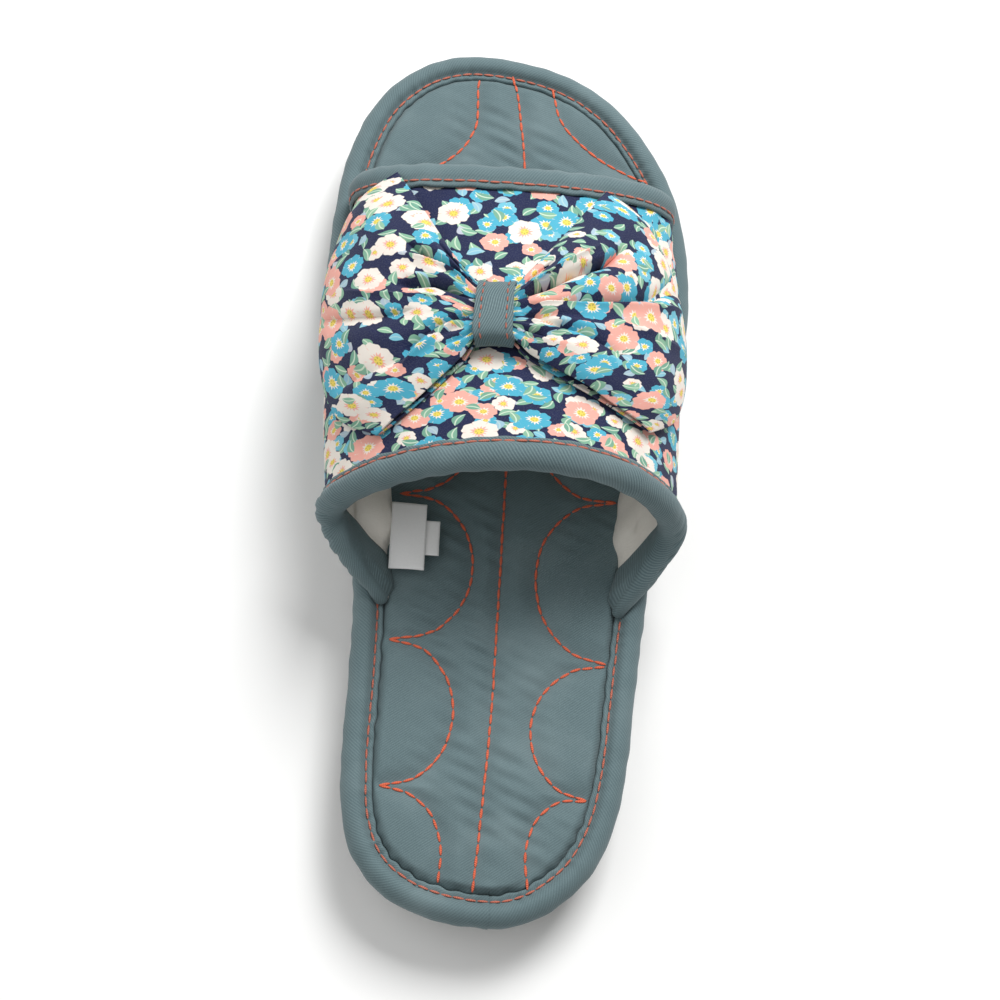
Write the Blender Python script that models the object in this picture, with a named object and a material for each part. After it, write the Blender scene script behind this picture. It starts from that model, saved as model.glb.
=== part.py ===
# Fabric house slipper for the right foot, open at the toe, with a flat bow on the vamp.
# +Y points to the toe, +X to the wearer's right, +Z up. Metres. It stands on Z = 0.
import math
from collections import namedtuple
from functools import lru_cache

import bmesh
import bpy
import numpy as np
from mathutils import Vector

# driving dimensions of the footbed
length = 0.2565
ball_width = 0.103
heel_width = 0.076
toe_spring = 0.0010
spring_start = 0.70          # share of the length where the sole begins to rise
outsole_thick = 0.003
outsole_inset = 0.0018       # how far the outsole stands back from the edge of the footbed
outsole_round = 0.0008       # rounding of its edges
midsole_thick = 0.0087
midsole_round = 0.0018
felt_thick = 0.001
felt_inset = 0.0010
insole_thick = 0.0068
insole_crown = 0.0012
insole_slope = 0.0014        # rounding of the insole's upper edge
heel_tuck = 0.0040           # how far the wall of the sole stands back under the heel
side_bulge = 0.0012          # how far it stands out past the binding at the sides

# driving dimensions of the bindings
binding_width = 0.0081
binding_height = 0.0079
lip_height = 0.0058          # stitched inner lip of the sole binding, above the felt
lip_width = 0.0024
roll_width = 0.0100          # padded roll along the throat
roll_thick = 0.0078
roll_step = 0.0010           # the roll begins to bulge this far past the edge that it wraps
taper_length = 0.0140        # both edge pieces get thinner over this length above the footbed
taper_share = 0.45           # down to this share of their bulge
strip_width = 0.0070         # flat strip over the toe edge
strip_thick = 0.0009
strip_round = 0.0004

# driving dimensions of the vamp
instep_height = 0.0720       # crest of the throat edge above the floor
vamp_wall = 0.0024
vamp_back_share = 0.3345     # shares of the length where the sides start and end on the footbed
vamp_front_share = 0.8058
flare_height = 0.0096        # height in which the sides swing out over the sole binding

# driving dimensions of the bow and the labels
knot_width = 0.0100
knot_length = 0.0180
knot_height = 0.0068
knot_box = 3.5               # squareness of the band's loop
knot_along = 0.47            # place of the knot, as a share of the way from throat to toe
knot_around = 0.462          # and of the way around the vamp, from the inner side
ribbon_thick = 0.0009
loop_puff = 0.0058            # thickness of a wing's loop by the knot, and at its outer fold
end_puff = 0.0026
rest_lift = 0.0006            # how far the wings lie over the vamp
toe_step = 0.0012             # and how much more where they pass over the toe strip
pleat_depth = 0.0042
band_thick = 0.0010
label_thick = 0.0005
label_around_share = 0.013   # the labels leave the lining just over the footbed
label_along_share = 0.150
label_clear = 0.0010         # distance from the lining
label_slope = 0.22
large_label = (0.0080, 0.0190)
small_label = (0.0130, 0.0092)

gap = 0.0003                 # clearance between touching pieces
slot_gap = 0.00045           # clearance between the vamp and the slot of a binding around its edge

outsole_top = outsole_thick
midsole_bottom = outsole_top + gap
midsole_top = midsole_bottom + midsole_thick
felt_bottom = midsole_top + gap
felt_top = felt_bottom + felt_thick
bed = felt_top + gap
lip_top = bed + lip_height
vamp_foot = lip_top + gap
shoulder = binding_width - lip_width    # the vamp stands on the footbed's edge at this inset
band_lift = gap + band_thick + gap      # the ribbon lies this high over the vamp inside the band

ring_count = 72              # points around the footbed
around_count = 40            # steps around the vamp
along_count = 12             # steps from its throat to its toe edge
wing_steps = 20              # steps around the loop of a wing, and across it
wing_rows = 14

# plan of the footbed: along is a share of the length, ball says how far the row follows the ball
# width and not the heel width, inner and outer are the sides as shares of that width
Row = namedtuple("Row", "along ball inner outer")
plan = [
    Row(0.000, 0.00, 0.018, 0.018),
    Row(0.020, 0.00, -0.296, 0.226),
    Row(0.060, 0.00, -0.441, 0.364),
    Row(0.100, 0.00, -0.490, 0.428),
    Row(0.160, 0.00, -0.507, 0.472),
    Row(0.250, 0.00, -0.501, 0.500),
    Row(0.350, 0.10, -0.487, 0.516),
    Row(0.500, 0.50, -0.497, 0.509),
    Row(0.620, 0.85, -0.505, 0.504),
    Row(0.720, 1.00, -0.501, 0.500),
    Row(0.790, 1.00, -0.492, 0.484),
    Row(0.850, 1.00, -0.473, 0.444),
    Row(0.900, 1.00, -0.436, 0.377),
    Row(0.940, 1.00, -0.384, 0.299),
    Row(0.975, 1.00, -0.297, 0.181),
    Row(1.000, 1.00, -0.107, -0.107),
]

# sections of the vamp: along is the way from throat to toe, inner and outer are the half widths as
# shares of the ball width, crest a share of the instep height, box the squareness of the arch, lean
# and nod how far the side and the crest lie in front of their foot (shares of the length), shift
# moves the crest outwards
Section = namedtuple("Section", "along inner outer crest box lean nod shift")
sections = [
    Section(0.00, 0.500, 0.478, 1.000, 2.00, 0.073, 0.028, 0.045),
    Section(0.33, 0.524, 0.488, 0.930, 2.10, 0.040, 0.008, 0.030),
    Section(0.66, 0.514, 0.480, 0.820, 2.30, 0.020, -0.008, 0.010),
    Section(1.00, 0.452, 0.440, 0.655, 2.60, 0.014, -0.023, 0.000),
]

# wall of the midsole from the bottom up: inset as a share of its rounding, height as a share of
# its thickness, out as a share of the side bulge
Wall = namedtuple("Wall", "inset height out")
wall_rows = [
    Wall(1.00, 0.00, 0.0),
    Wall(0.28, 0.15, 0.6),
    Wall(0.00, 0.50, 1.0),
    Wall(0.22, 0.82, 0.7),
    Wall(0.89, 1.00, 0.0),
]

# roll of the sole binding, from its outermost point inwards over the top and from the bottom out:
# inset as a share of the way to the vamp's foot, height as a share of the binding's height
Roll = namedtuple("Roll", "inset height")
roll_top = [Roll(0.00, 0.38), Roll(0.07, 0.68), Roll(0.28, 0.91), Roll(0.58, 1.00), Roll(0.84, 0.92)]
roll_bottom = [Roll(0.42, 0.00), Roll(0.12, 0.12)]

# outer ends of the bow's wings: across runs from the toe side to the heel side of a wing,
# around and along are places on the vamp, fold is the height of the ripple (1 ridge, 0 valley)
Fold = namedtuple("Fold", "across around along fold")
left_wing = [
    Fold(0.00, 0.235, 0.965, 0.5),
    Fold(0.12, 0.165, 0.900, 1.0),
    Fold(0.26, 0.115, 0.810, 0.8),
    Fold(0.40, 0.095, 0.690, 0.1),
    Fold(0.55, 0.110, 0.560, 1.0),
    Fold(0.70, 0.150, 0.390, 0.2),
    Fold(0.86, 0.220, 0.210, 0.9),
    Fold(1.00, 0.300, 0.110, 0.4),
]
right_wing = [
    Fold(0.00, 0.690, 0.935, 0.5),
    Fold(0.14, 0.765, 0.870, 1.0),
    Fold(0.30, 0.815, 0.780, 0.8),
    Fold(0.44, 0.850, 0.670, 0.7),
    Fold(0.55, 0.865, 0.560, 0.0),
    Fold(0.68, 0.850, 0.430, 1.0),
    Fold(0.85, 0.790, 0.270, 0.7),
    Fold(1.00, 0.715, 0.170, 0.4),
]


def smooth_value(keys, values, at):
    """Cubic curve through a short table, read at one place or many."""
    keys = np.asarray(keys, float)
    values = np.asarray(values, float)
    slopes = np.gradient(values, keys)
    at = np.clip(np.asarray(at, float), keys[0], keys[-1])
    i = np.clip(np.searchsorted(keys, at, side="right") - 1, 0, len(keys) - 2)
    step = keys[i + 1] - keys[i]
    t = (at - keys[i]) / step
    return (values[i] * (1 + 2 * t) * (1 - t) ** 2 + slopes[i] * step * t * (1 - t) ** 2
            + values[i + 1] * t ** 2 * (3 - 2 * t) + slopes[i + 1] * step * t ** 2 * (t - 1))


def ease(value):
    """Smooth step from 0 to 1."""
    t = np.clip(value, 0.0, 1.0)
    return t * t * (3 - 2 * t)


# Footbed plan

def half_turn(along):
    """Even parameter of a share of the length: it makes heel and toe round."""
    return np.arccos(1 - 2 * np.asarray(along)) / math.pi


@lru_cache(None)
def outline():
    """Points and outward normals of the footbed's edge, from the heel up the outer side."""
    keys = half_turn([row.along for row in plan])
    turn = np.linspace(0, 1, 1200)
    widths = smooth_value(keys, [heel_width + (ball_width - heel_width) * r.ball for r in plan], turn)
    y = length * (1 - np.cos(math.pi * turn)) / 2
    sides = []
    for column in ("outer", "inner"):
        x = smooth_value(keys, [getattr(row, column) for row in plan], turn) * widths
        side = np.column_stack([x, y])
        run = np.concatenate([[0], np.cumsum(np.linalg.norm(np.diff(side, axis=0), axis=1))])
        even = np.linspace(0, run[-1], ring_count // 2 + 1)
        sides.append(np.column_stack([np.interp(even, run, side[:, 0]), np.interp(even, run, side[:, 1])]))
    points = np.vstack([sides[0], sides[1][-2:0:-1]])
    tangent = np.roll(points, -1, axis=0) - np.roll(points, 1, axis=0)
    tangent /= np.linalg.norm(tangent, axis=1)[:, None]
    normals = np.column_stack([tangent[:, 1], -tangent[:, 0]])
    return points, normals


def toe_lift(y):
    """Rise of the sole at the toe."""
    start = spring_start * length
    return toe_spring * np.clip((np.asarray(y) - start) / (length - start), 0, None) ** 2


def ring(inset, height, tuck=0.0, bulge=0.0):
    """One loop around the footbed at an inset from its edge."""
    points, normals = outline()
    heelward = np.clip(-normals[:, 1], 0, 1) ** 2
    sideward = normals[:, 0] ** 2
    inset = inset + tuck * heelward - bulge * sideward
    placed = points - normals * inset[:, None]
    z = height + toe_lift(placed[:, 1])
    return np.column_stack([placed, z])


def side_at(inset, y, outer):
    """How far out the footbed's edge lies at a place along it."""
    loop = ring(inset, 0.0)
    half = ring_count // 2
    side = loop[:half + 1] if outer else np.vstack([loop[:1], loop[:half - 1:-1]])
    return np.interp(y, side[:, 1], side[:, 0])


# Meshes

def material(name, colour, roughness):
    made = bpy.data.materials.new(name)
    made.use_nodes = True
    shader = made.node_tree.nodes["Principled BSDF"]
    shader.inputs["Base Color"].default_value = (*colour, 1.0)
    shader.inputs["Roughness"].default_value = roughness
    shader.inputs["Metallic"].default_value = 0.0
    made.diffuse_color = (*colour, 1.0)
    return made


def finish_object(name, bm, colour, roughness=0.85, sharp=40):
    """Turns a bmesh into a named object with its own material."""
    bmesh.ops.recalc_face_normals(bm, faces=bm.faces)
    mesh = bpy.data.meshes.new(name)
    bm.to_mesh(mesh)
    bm.free()
    mesh.shade_smooth()
    mesh.set_sharp_from_angle(angle=math.radians(sharp))
    obj = bpy.data.objects.new(name, mesh)
    bpy.context.scene.collection.objects.link(obj)
    mesh.materials.append(material(name, colour, roughness))
    return obj


def join_rows(bm, rows, closed_rows, closed_loop):
    """Quads between rows of vertices; a row may close on itself, and the last row on the first."""
    count = len(rows[0])
    pairs = list(zip(rows, rows[1:])) + ([(rows[-1], rows[0])] if closed_loop else [])
    for low, high in pairs:
        for i in range(count if closed_rows else count - 1):
            j = (i + 1) % count
            bm.faces.new((low[i], low[j], high[j], high[i]))


def layer(name, rings, crown, colour, roughness=0.85):
    """A full layer of the footbed: rings from the bottom up, closed across at both ends."""
    bm = bmesh.new()
    rows = [[bm.verts.new(point) for point in loop] for loop in rings]
    join_rows(bm, rows, True, False)
    half = ring_count // 2
    for end, rise in ((0, 0.0), (-1, crown)):
        loop = rows[end]
        spine = [loop[0]]
        for i in range(1, half):
            middle = (loop[i].co + loop[-i].co) / 2
            middle.z += rise
            spine.append(bm.verts.new(middle))
        spine.append(loop[half])
        for i in range(half):
            for side in (1, -1):
                face = [spine[i], spine[i + 1], loop[side * (i + 1)], loop[side * i]]
                face = list(dict.fromkeys(face))
                bm.faces.new(face)
    return finish_object(name, bm, colour, roughness)


def swept(name, profiles, closed, colour, roughness=0.85):
    """A profile carried along a path: one list of points for each place on the path."""
    bm = bmesh.new()
    rows = [[bm.verts.new(point) for point in profile] for profile in profiles]
    join_rows(bm, rows, True, closed)
    if not closed:
        bm.faces.new(rows[0])
        bm.faces.new(rows[-1])
    return finish_object(name, bm, colour, roughness)


def shell(name, place, steps_u, steps_v, colour, roughness=0.85):
    """A sheet with a wall: place(u, v, depth) gives a point, depth 0 outside and 1 inside."""
    bm = bmesh.new()
    sheets = []
    for depth in (0, 1):
        sheets.append([[bm.verts.new(place(i / steps_u, j / steps_v, depth))
                        for i in range(steps_u + 1)] for j in range(steps_v + 1)])
        join_rows(bm, sheets[-1], False, False)
    rims = [
        [sheet[0] for sheet in sheets],
        [sheet[-1] for sheet in sheets],
        [[row[0] for row in sheet] for sheet in sheets],
        [[row[-1] for row in sheet] for sheet in sheets],
    ]
    for rim in rims:
        join_rows(bm, rim, False, False)
    return finish_object(name, bm, colour, roughness)


# Vamp surface

@lru_cache(None)
def vamp_arch(along):
    """The arch of the vamp's outer face at one place from throat (0) to toe edge (1)."""
    keys = [s.along for s in sections]
    inside = min(max(along, 0.0), 1.0)
    read = {c: float(smooth_value(keys, [getattr(s, c) for s in sections], inside))
            for c in ("inner", "outer", "crest", "box", "lean", "nod", "shift")}
    foot_y = length * (vamp_back_share + (vamp_front_share - vamp_back_share) * along)
    rise = instep_height * read["crest"] - vamp_foot
    turn = np.linspace(0, math.pi, 400)
    power = 2 / read["box"]
    height = rise * np.sin(turn) ** power
    across = -np.sign(np.cos(turn)) * np.abs(np.cos(turn)) ** power
    out = 1 - np.exp(-(height / flare_height) ** 2)
    foot_x = np.where(across < 0, side_at(shoulder, foot_y, False), side_at(shoulder, foot_y, True))
    share = height / rise
    half = np.where(across < 0, read["inner"], read["outer"])
    full_x = ball_width * (across * half + read["shift"] * share ** 2)
    x = foot_x + (full_x - foot_x) * out
    y = foot_y + length * (read["lean"] * out + read["nod"] * share)
    z = vamp_foot + height + toe_lift(foot_y)
    arch = np.column_stack([x, y, z])
    run = np.concatenate([[0], np.cumsum(np.linalg.norm(np.diff(arch, axis=0), axis=1))])
    return arch, run


def on_vamp(around, along):
    """A point of the outer face: around runs from the inner foot (0) to the outer foot (1)."""
    arch, run = vamp_arch(round(along, 6))
    place = around * run[-1]
    return np.array([np.interp(place, run, arch[:, k]) for k in range(3)])


def vamp_frame(around, along):
    """Point, normal and length of the vamp per unit of along, at a place on it."""
    d = 0.004
    low, high = max(around - d, 0.0), min(around + d, 1.0)
    sideways = on_vamp(high, along) - on_vamp(low, along)
    forward = on_vamp(around, along + d) - on_vamp(around, along - d)
    normal = np.cross(sideways, forward)
    normal /= np.linalg.norm(normal)
    return on_vamp(around, along), normal, np.linalg.norm(forward) / (2 * d)


def vamp_point(around, along, lift=0.0, ahead=0.0):
    """A point lifted off the vamp, moved ahead by a distance towards the toe."""
    if ahead:
        stretch = vamp_frame(around, along)[2]
        along = along + ahead / stretch
    point, normal, _ = vamp_frame(around, along)
    return point + normal * lift


def vamp_width(along):
    """Length of the arch from foot to foot."""
    return vamp_arch(round(along, 6))[1][-1]


# Sub-parts

twill = (0.165, 0.245, 0.260)
grey_cloth = (0.36, 0.37, 0.36)
floral = (0.20, 0.34, 0.45)


def make_outsole():
    inner = outsole_inset + outsole_round
    steps = ((inner, 0.0), (outsole_inset, outsole_round), (outsole_inset, outsole_top - outsole_round),
             (inner, outsole_top))
    rings = [ring(inset, z, heel_tuck) for inset, z in steps]
    return layer("outsole", rings, 0.0, (0.20, 0.20, 0.20), 0.9)


def make_midsole():
    rings = [ring(row.inset * midsole_round, midsole_bottom + midsole_thick * row.height, heel_tuck,
                  side_bulge * row.out) for row in wall_rows]
    return layer("midsole", rings, 0.0, grey_cloth, 0.8)


def make_felt_edge():
    rings = [ring(felt_inset, z, heel_tuck / 2) for z in (felt_bottom, felt_top)]
    return layer("felt_edge", rings, 0.0, (0.72, 0.68, 0.58), 0.95)


def make_insole():
    edge = binding_width + gap
    top = bed + insole_thick
    steps = ((edge, bed), (edge, top - insole_slope), (edge + 0.6 * insole_slope, top - 0.35 * insole_slope),
             (edge + 2.4 * insole_slope, top))
    rings = [ring(inset, z) for inset, z in steps]
    return layer("insole", rings, insole_crown, twill, 0.9)


def make_sole_binding():
    def on_roll(point):
        return point.inset * shoulder, bed + point.height * binding_height

    profile = [on_roll(point) for point in roll_top]
    profile += [(shoulder, lip_top + gap / 3), (binding_width, lip_top), (binding_width, bed)]
    profile += [on_roll(point) for point in roll_bottom]
    loops = [ring(inset, z) for inset, z in profile]
    profiles = [[loop[i] for loop in loops] for i in range(ring_count)]
    return swept("sole_binding", profiles, True, twill, 0.9)


def make_vamp():
    def place(u, v, depth):
        along = (v + (1 - math.cos(math.pi * v)) / 2) / 2      # closer steps at both edges
        point = vamp_point(u, along, -vamp_wall * depth)
        if u in (0.0, 1.0):
            point[2] = vamp_foot + toe_lift(point[1])
        return point
    return shell("vamp", place, around_count, along_count, floral)


def edge_piece(name, along, forward, profile, colour):
    """Carries a profile of (ahead, lift) along one edge of the vamp, from just over the footbed."""
    profiles = []
    for i in range(1, around_count):
        around = i / around_count
        from_foot = (min(i, around_count - i) - 1) / around_count * vamp_width(along)
        full = taper_share + (1 - taper_share) * ease(from_foot / taper_length)
        profiles.append([vamp_point(around, along, lift(full), forward * ahead(full))
                         for ahead, lift in profile])
    return swept(name, profiles, False, colour, 0.9)


def make_throat_binding():
    half = roll_width / 2
    outside = roll_thick / 2 - vamp_wall / 2
    middle = -vamp_wall / 2

    start = slot_gap + roll_step

    def flat(ahead, lift):
        return (lambda full: ahead, lambda full: lift)

    def bulged(ahead, lift):
        base = slot_gap if lift > 0 else -vamp_wall - slot_gap
        return (lambda full: ahead if ahead < 0 else start + (ahead - start) * full,
                lambda full: base + (lift - base) * full)

    profile = [
        flat(-half, slot_gap),
        bulged(-0.85 * half, 0.42 * outside),
        bulged(-0.40 * half, 0.88 * outside),
        bulged(0.12 * half, outside),
        bulged(0.68 * half, 0.62 * outside),
        (lambda full: start + (half - start) * full, lambda full: middle),
        bulged(0.68 * half, 2 * middle - 0.62 * outside),
        bulged(0.12 * half, 2 * middle - outside),
        bulged(-0.40 * half, 2 * middle - 0.88 * outside),
        bulged(-0.85 * half, 2 * middle - 0.42 * outside),
        flat(-half, -vamp_wall - slot_gap),
        flat(slot_gap, -vamp_wall - slot_gap),
        flat(slot_gap, slot_gap),
    ]
    return edge_piece("throat_binding", 0.0, -1.0, profile, twill)


def make_toe_binding():
    inner = -vamp_wall - slot_gap

    def at(ahead, lift):
        return (lambda full: ahead, lambda full: lift)

    profile = [
        at(-strip_width, slot_gap),
        at(-strip_width + strip_round, slot_gap + strip_thick),
        at(0.0, slot_gap + 1.3 * strip_thick),
        at(slot_gap + strip_thick, slot_gap),
        at(slot_gap + 1.3 * strip_thick, -vamp_wall / 2),
        at(slot_gap + strip_thick, inner),
        at(0.0, inner - 1.3 * strip_thick),
        at(-strip_width + strip_round, inner - strip_thick),
        at(-strip_width, inner),
        at(slot_gap, inner),
        at(slot_gap, slot_gap),
    ]
    return edge_piece("toe_binding", 1.0, 1.0, profile, twill)


def wing_place(wing, side):
    """Maps (around the loop, across the wing, depth in the ribbon) to a point of one wing."""
    keys = [fold.across for fold in wing]
    wide = vamp_width(knot_along)
    tall = vamp_frame(knot_around, knot_along)[2]
    start = knot_around + side * gap / wide
    leave = knot_around + side * (knot_width / 2 + band_thick) / wide
    crowd = 1.5                            # gathers the steps towards the fold at the outer end
    pinch = 1 - (1 - 2 / wing_steps) ** crowd
    fold_box = 3.2                         # squareness of the fold at the outer end

    def place(u, v, depth):
        end_around = float(smooth_value(keys, [fold.around for fold in wing], v))
        end_along = float(smooth_value(keys, [fold.along for fold in wing], v))
        ripple = float(smooth_value(keys, [fold.fold for fold in wing], v))
        turn = 2 * u - 1
        out = 1 - abs(turn) ** crowd
        level = 0.5 + 0.5 * math.copysign((1 - out ** fold_box) ** (1 / fold_box), turn)
        reach = abs(end_around - leave) * wide
        out -= depth * ribbon_thick / reach * out ** 6
        knot_v = knot_along + (0.5 - v) * (knot_length - 2 * band_thick - 4 * gap) / tall
        if out <= pinch:
            around = start + (leave - start) * out / pinch
            along = knot_v
        else:
            fan = (out - pinch) / (1 - pinch)
            around = leave + (end_around - leave) * fan
            along = knot_v + (end_along - knot_v) * fan
        open_out = float(ease((out - pinch) / 0.35))
        bundle = knot_height / 2 * (1 - abs(0.94 * (2 * v - 1)) ** knot_box) ** (1 / knot_box) - gap
        middle = band_lift + knot_height / 2
        clear = rest_lift + toe_step * float(ease((end_along - 0.8) / 0.12))
        ride = clear + pleat_depth * ripple * (1 - 0.55 * out)
        thick = loop_puff + (end_puff - loop_puff) * out
        low = (middle - bundle) * (1 - open_out) + (clear + 0.5 * (ride - clear)) * open_out
        high = (middle + bundle) * (1 - open_out) + (ride + thick) * open_out
        lift = low + (high - low) * level + ribbon_thick * depth * (1 - 2 * level)
        return vamp_point(around, along, lift)
    return place


def make_bow():
    shell("bow_left", wing_place(left_wing, -1), wing_steps, wing_rows, floral)
    shell("bow_right", wing_place(right_wing, 1), wing_steps, wing_rows, floral)


def make_bow_band():
    wide = vamp_width(knot_along)
    tall = vamp_frame(knot_around, knot_along)[2]
    corners = 20
    profiles = []
    for layer_in in (0, 1):
        half = knot_length / 2 - band_thick * layer_in
        top = band_lift + knot_height + gap + band_thick * (1 - layer_in)
        bottom = gap + band_thick * layer_in
        loop = []
        for i in range(corners):
            angle = 2 * math.pi * i / corners
            box = 2 / knot_box
            along = math.copysign(abs(math.cos(angle)) ** box, math.cos(angle)) * half
            level = 0.5 + 0.5 * math.copysign(abs(math.sin(angle)) ** box, math.sin(angle))
            loop.append((along, bottom + (top - bottom) * level))
        profiles.append(loop)
    bm = bmesh.new()
    steps = 4
    rows = []
    for loop in profiles:
        for s in range(steps + 1):
            step = s if loop is profiles[0] else steps - s
            around = knot_around + (step / steps - 0.5) * knot_width / wide
            rows.append([bm.verts.new(vamp_point(around, knot_along + a / tall, lift)) for a, lift in loop])
    join_rows(bm, rows, True, True)
    return finish_object("bow_band", bm, twill, 0.9)


def make_labels():
    for name, size, start_lift in (("label_large", large_label, 0.0),
                                   ("label_small", small_label, 2 * label_thick + gap)):
        reach, wide = size
        bm = bmesh.new()
        bmesh.ops.create_cube(bm, size=1.0)
        foot = vamp_point(label_around_share, label_along_share, -vamp_wall - gap)
        for vert in bm.verts:
            out = (vert.co.x + 0.5) * reach
            vert.co = Vector((foot[0] + label_clear + out, foot[1] + vert.co.y * wide,
                              foot[2] + start_lift + label_slope * out + vert.co.z * label_thick))
        finish_object(name, bm, (0.85, 0.85, 0.84), 0.7)


def centre_on_floor():
    """Moves the whole slipper so that its box is centred over the origin."""
    bpy.context.view_layer.update()
    pieces = [obj for obj in bpy.context.scene.objects if obj.type == "MESH"]
    low = np.min([np.array(v.co) for obj in pieces for v in obj.data.vertices], axis=0)
    high = np.max([np.array(v.co) for obj in pieces for v in obj.data.vertices], axis=0)
    shift = Vector((-(low[0] + high[0]) / 2, -(low[1] + high[1]) / 2, 0.0))
    for obj in pieces:
        obj.location = shift


def main():
    for obj in list(bpy.data.objects):
        bpy.data.objects.remove(obj, do_unlink=True)
    make_outsole()
    make_midsole()
    make_felt_edge()
    make_insole()
    make_sole_binding()
    make_vamp()
    make_throat_binding()
    make_toe_binding()
    make_bow()
    make_bow_band()
    make_labels()
    centre_on_floor()


main()
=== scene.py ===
import math
import random

import bmesh
import bpy
import numpy as np
from mathutils import Matrix, Vector


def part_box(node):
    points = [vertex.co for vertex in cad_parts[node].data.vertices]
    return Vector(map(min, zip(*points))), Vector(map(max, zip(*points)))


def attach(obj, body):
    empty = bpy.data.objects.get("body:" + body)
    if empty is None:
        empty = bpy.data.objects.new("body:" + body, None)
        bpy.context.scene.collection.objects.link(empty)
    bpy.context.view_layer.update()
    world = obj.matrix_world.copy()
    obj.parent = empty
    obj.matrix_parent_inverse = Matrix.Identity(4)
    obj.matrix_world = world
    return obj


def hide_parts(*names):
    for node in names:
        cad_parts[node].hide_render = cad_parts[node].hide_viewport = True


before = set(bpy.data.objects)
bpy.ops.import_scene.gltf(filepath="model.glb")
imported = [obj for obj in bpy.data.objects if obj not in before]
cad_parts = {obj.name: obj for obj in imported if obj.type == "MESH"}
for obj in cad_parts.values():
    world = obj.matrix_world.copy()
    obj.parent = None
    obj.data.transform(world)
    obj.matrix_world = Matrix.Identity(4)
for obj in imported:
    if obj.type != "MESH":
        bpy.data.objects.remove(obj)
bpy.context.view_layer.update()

# metres, toe along +Y, the wearer's right along +X, the floor at Z = 0; the spine is the stretch of the
# footbed that has a middle line of its own, and halfWide is only a scale for the UV maps
slipper = {
    "length": 0.2565, "ballWidth": 0.103, "heelWidth": 0.076,
    "toeSpring": 0.0010, "springStart": 0.70,
    "outsoleTop": 0.0030, "midsoleBottom": 0.0033, "midsoleTop": 0.0120,
    "feltBottom": 0.0123, "feltTop": 0.0133, "bed": 0.0136,
    "bindingWidth": 0.0081, "lipHeight": 0.0058, "lipWidth": 0.0024,
    "instepHeight": 0.072, "vampBack": 0.3345, "vampFront": 0.8058, "flareHeight": 0.0096,
    "vampWall": 0.0024, "gap": 0.0003,
    "spine": (0.042, 0.211), "halfWide": 0.045,
}
vampFoot = slipper["bed"] + slipper["lipHeight"] + slipper["gap"]

# footbed: share of the length, how far the ball width counts, inner side, outer side
footbedRows = [
    (0.000, 0.00, 0.018, 0.018), (0.020, 0.00, -0.296, 0.226), (0.060, 0.00, -0.441, 0.364),
    (0.100, 0.00, -0.490, 0.428), (0.160, 0.00, -0.507, 0.472), (0.250, 0.00, -0.501, 0.500),
    (0.350, 0.10, -0.487, 0.516), (0.500, 0.50, -0.497, 0.509), (0.620, 0.85, -0.505, 0.504),
    (0.720, 1.00, -0.501, 0.500), (0.790, 1.00, -0.492, 0.484), (0.850, 1.00, -0.473, 0.444),
    (0.900, 1.00, -0.436, 0.377), (0.940, 1.00, -0.384, 0.299), (0.975, 1.00, -0.297, 0.181),
    (1.000, 1.00, -0.107, -0.107),
]

# vamp: way to the toe, inner and outer half width, crest, squareness, lean, nod, shift
vampRows = [
    (0.00, 0.500, 0.478, 1.000, 2.00, 0.073, 0.028, 0.045),
    (0.33, 0.524, 0.488, 0.930, 2.10, 0.040, 0.008, 0.030),
    (0.66, 0.514, 0.480, 0.820, 2.30, 0.020, -0.008, 0.010),
    (1.00, 0.452, 0.440, 0.655, 2.60, 0.014, -0.023, 0.000),
]

print("slipper: sizes read, solids of the frame loaded")


def smoothTable(keys, values, at):
    keys, values = np.asarray(keys, float), np.asarray(values, float)
    slopes = np.gradient(values, keys)
    at = np.clip(np.asarray(at, float), keys[0], keys[-1])
    i = np.clip(np.searchsorted(keys, at, side="right") - 1, 0, len(keys) - 2)
    step = keys[i + 1] - keys[i]
    t = (at - keys[i]) / step
    return (values[i] * (1 + 2 * t) * (1 - t) ** 2 + slopes[i] * step * t * (1 - t) ** 2
            + values[i + 1] * t ** 2 * (3 - 2 * t) + slopes[i + 1] * step * t ** 2 * (t - 1))


def runOf(lengths):
    # the way from a line's first point to each of its points, from the lengths between them
    return np.concatenate([[0], np.cumsum(lengths)])


def profileOf(rows, steps, closed=True):
    # a smooth profile through a few rows, read at even steps: both columns and the whole way
    rows = np.array(rows + rows[:1] if closed else rows)
    run = runOf(np.hypot(*np.diff(rows, axis=0).T))
    at = np.linspace(0, run[-1], steps + 1)
    first, second = [smoothTable(run, rows[:, k], at) for k in (0, 1)]
    if closed:
        first[-1], second[-1] = first[0], second[0]
    return first, second, float(run[-1])


def rowOf(v, steps):
    return np.rint(v * steps).astype(int)


def ease(value):
    t = np.clip(value, 0.0, 1.0)
    return t * t * (3 - 2 * t)


def wobble(at, seed, count=7, low=3.0, high=14.0):
    # a soft random wave between -1 and 1, the same one for the same seed
    dice = random.Random(seed)
    total = np.zeros_like(np.asarray(at, float))
    for n in range(count):
        total += dice.uniform(0.4, 1.0) * np.sin(at * dice.uniform(low, high) + dice.uniform(0, 6.28))
    return total / count ** 0.5 / 0.9


# ---- the footbed's edge, read at a share of the way around it, from the heel up the outer side
sideSteps = 720


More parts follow.
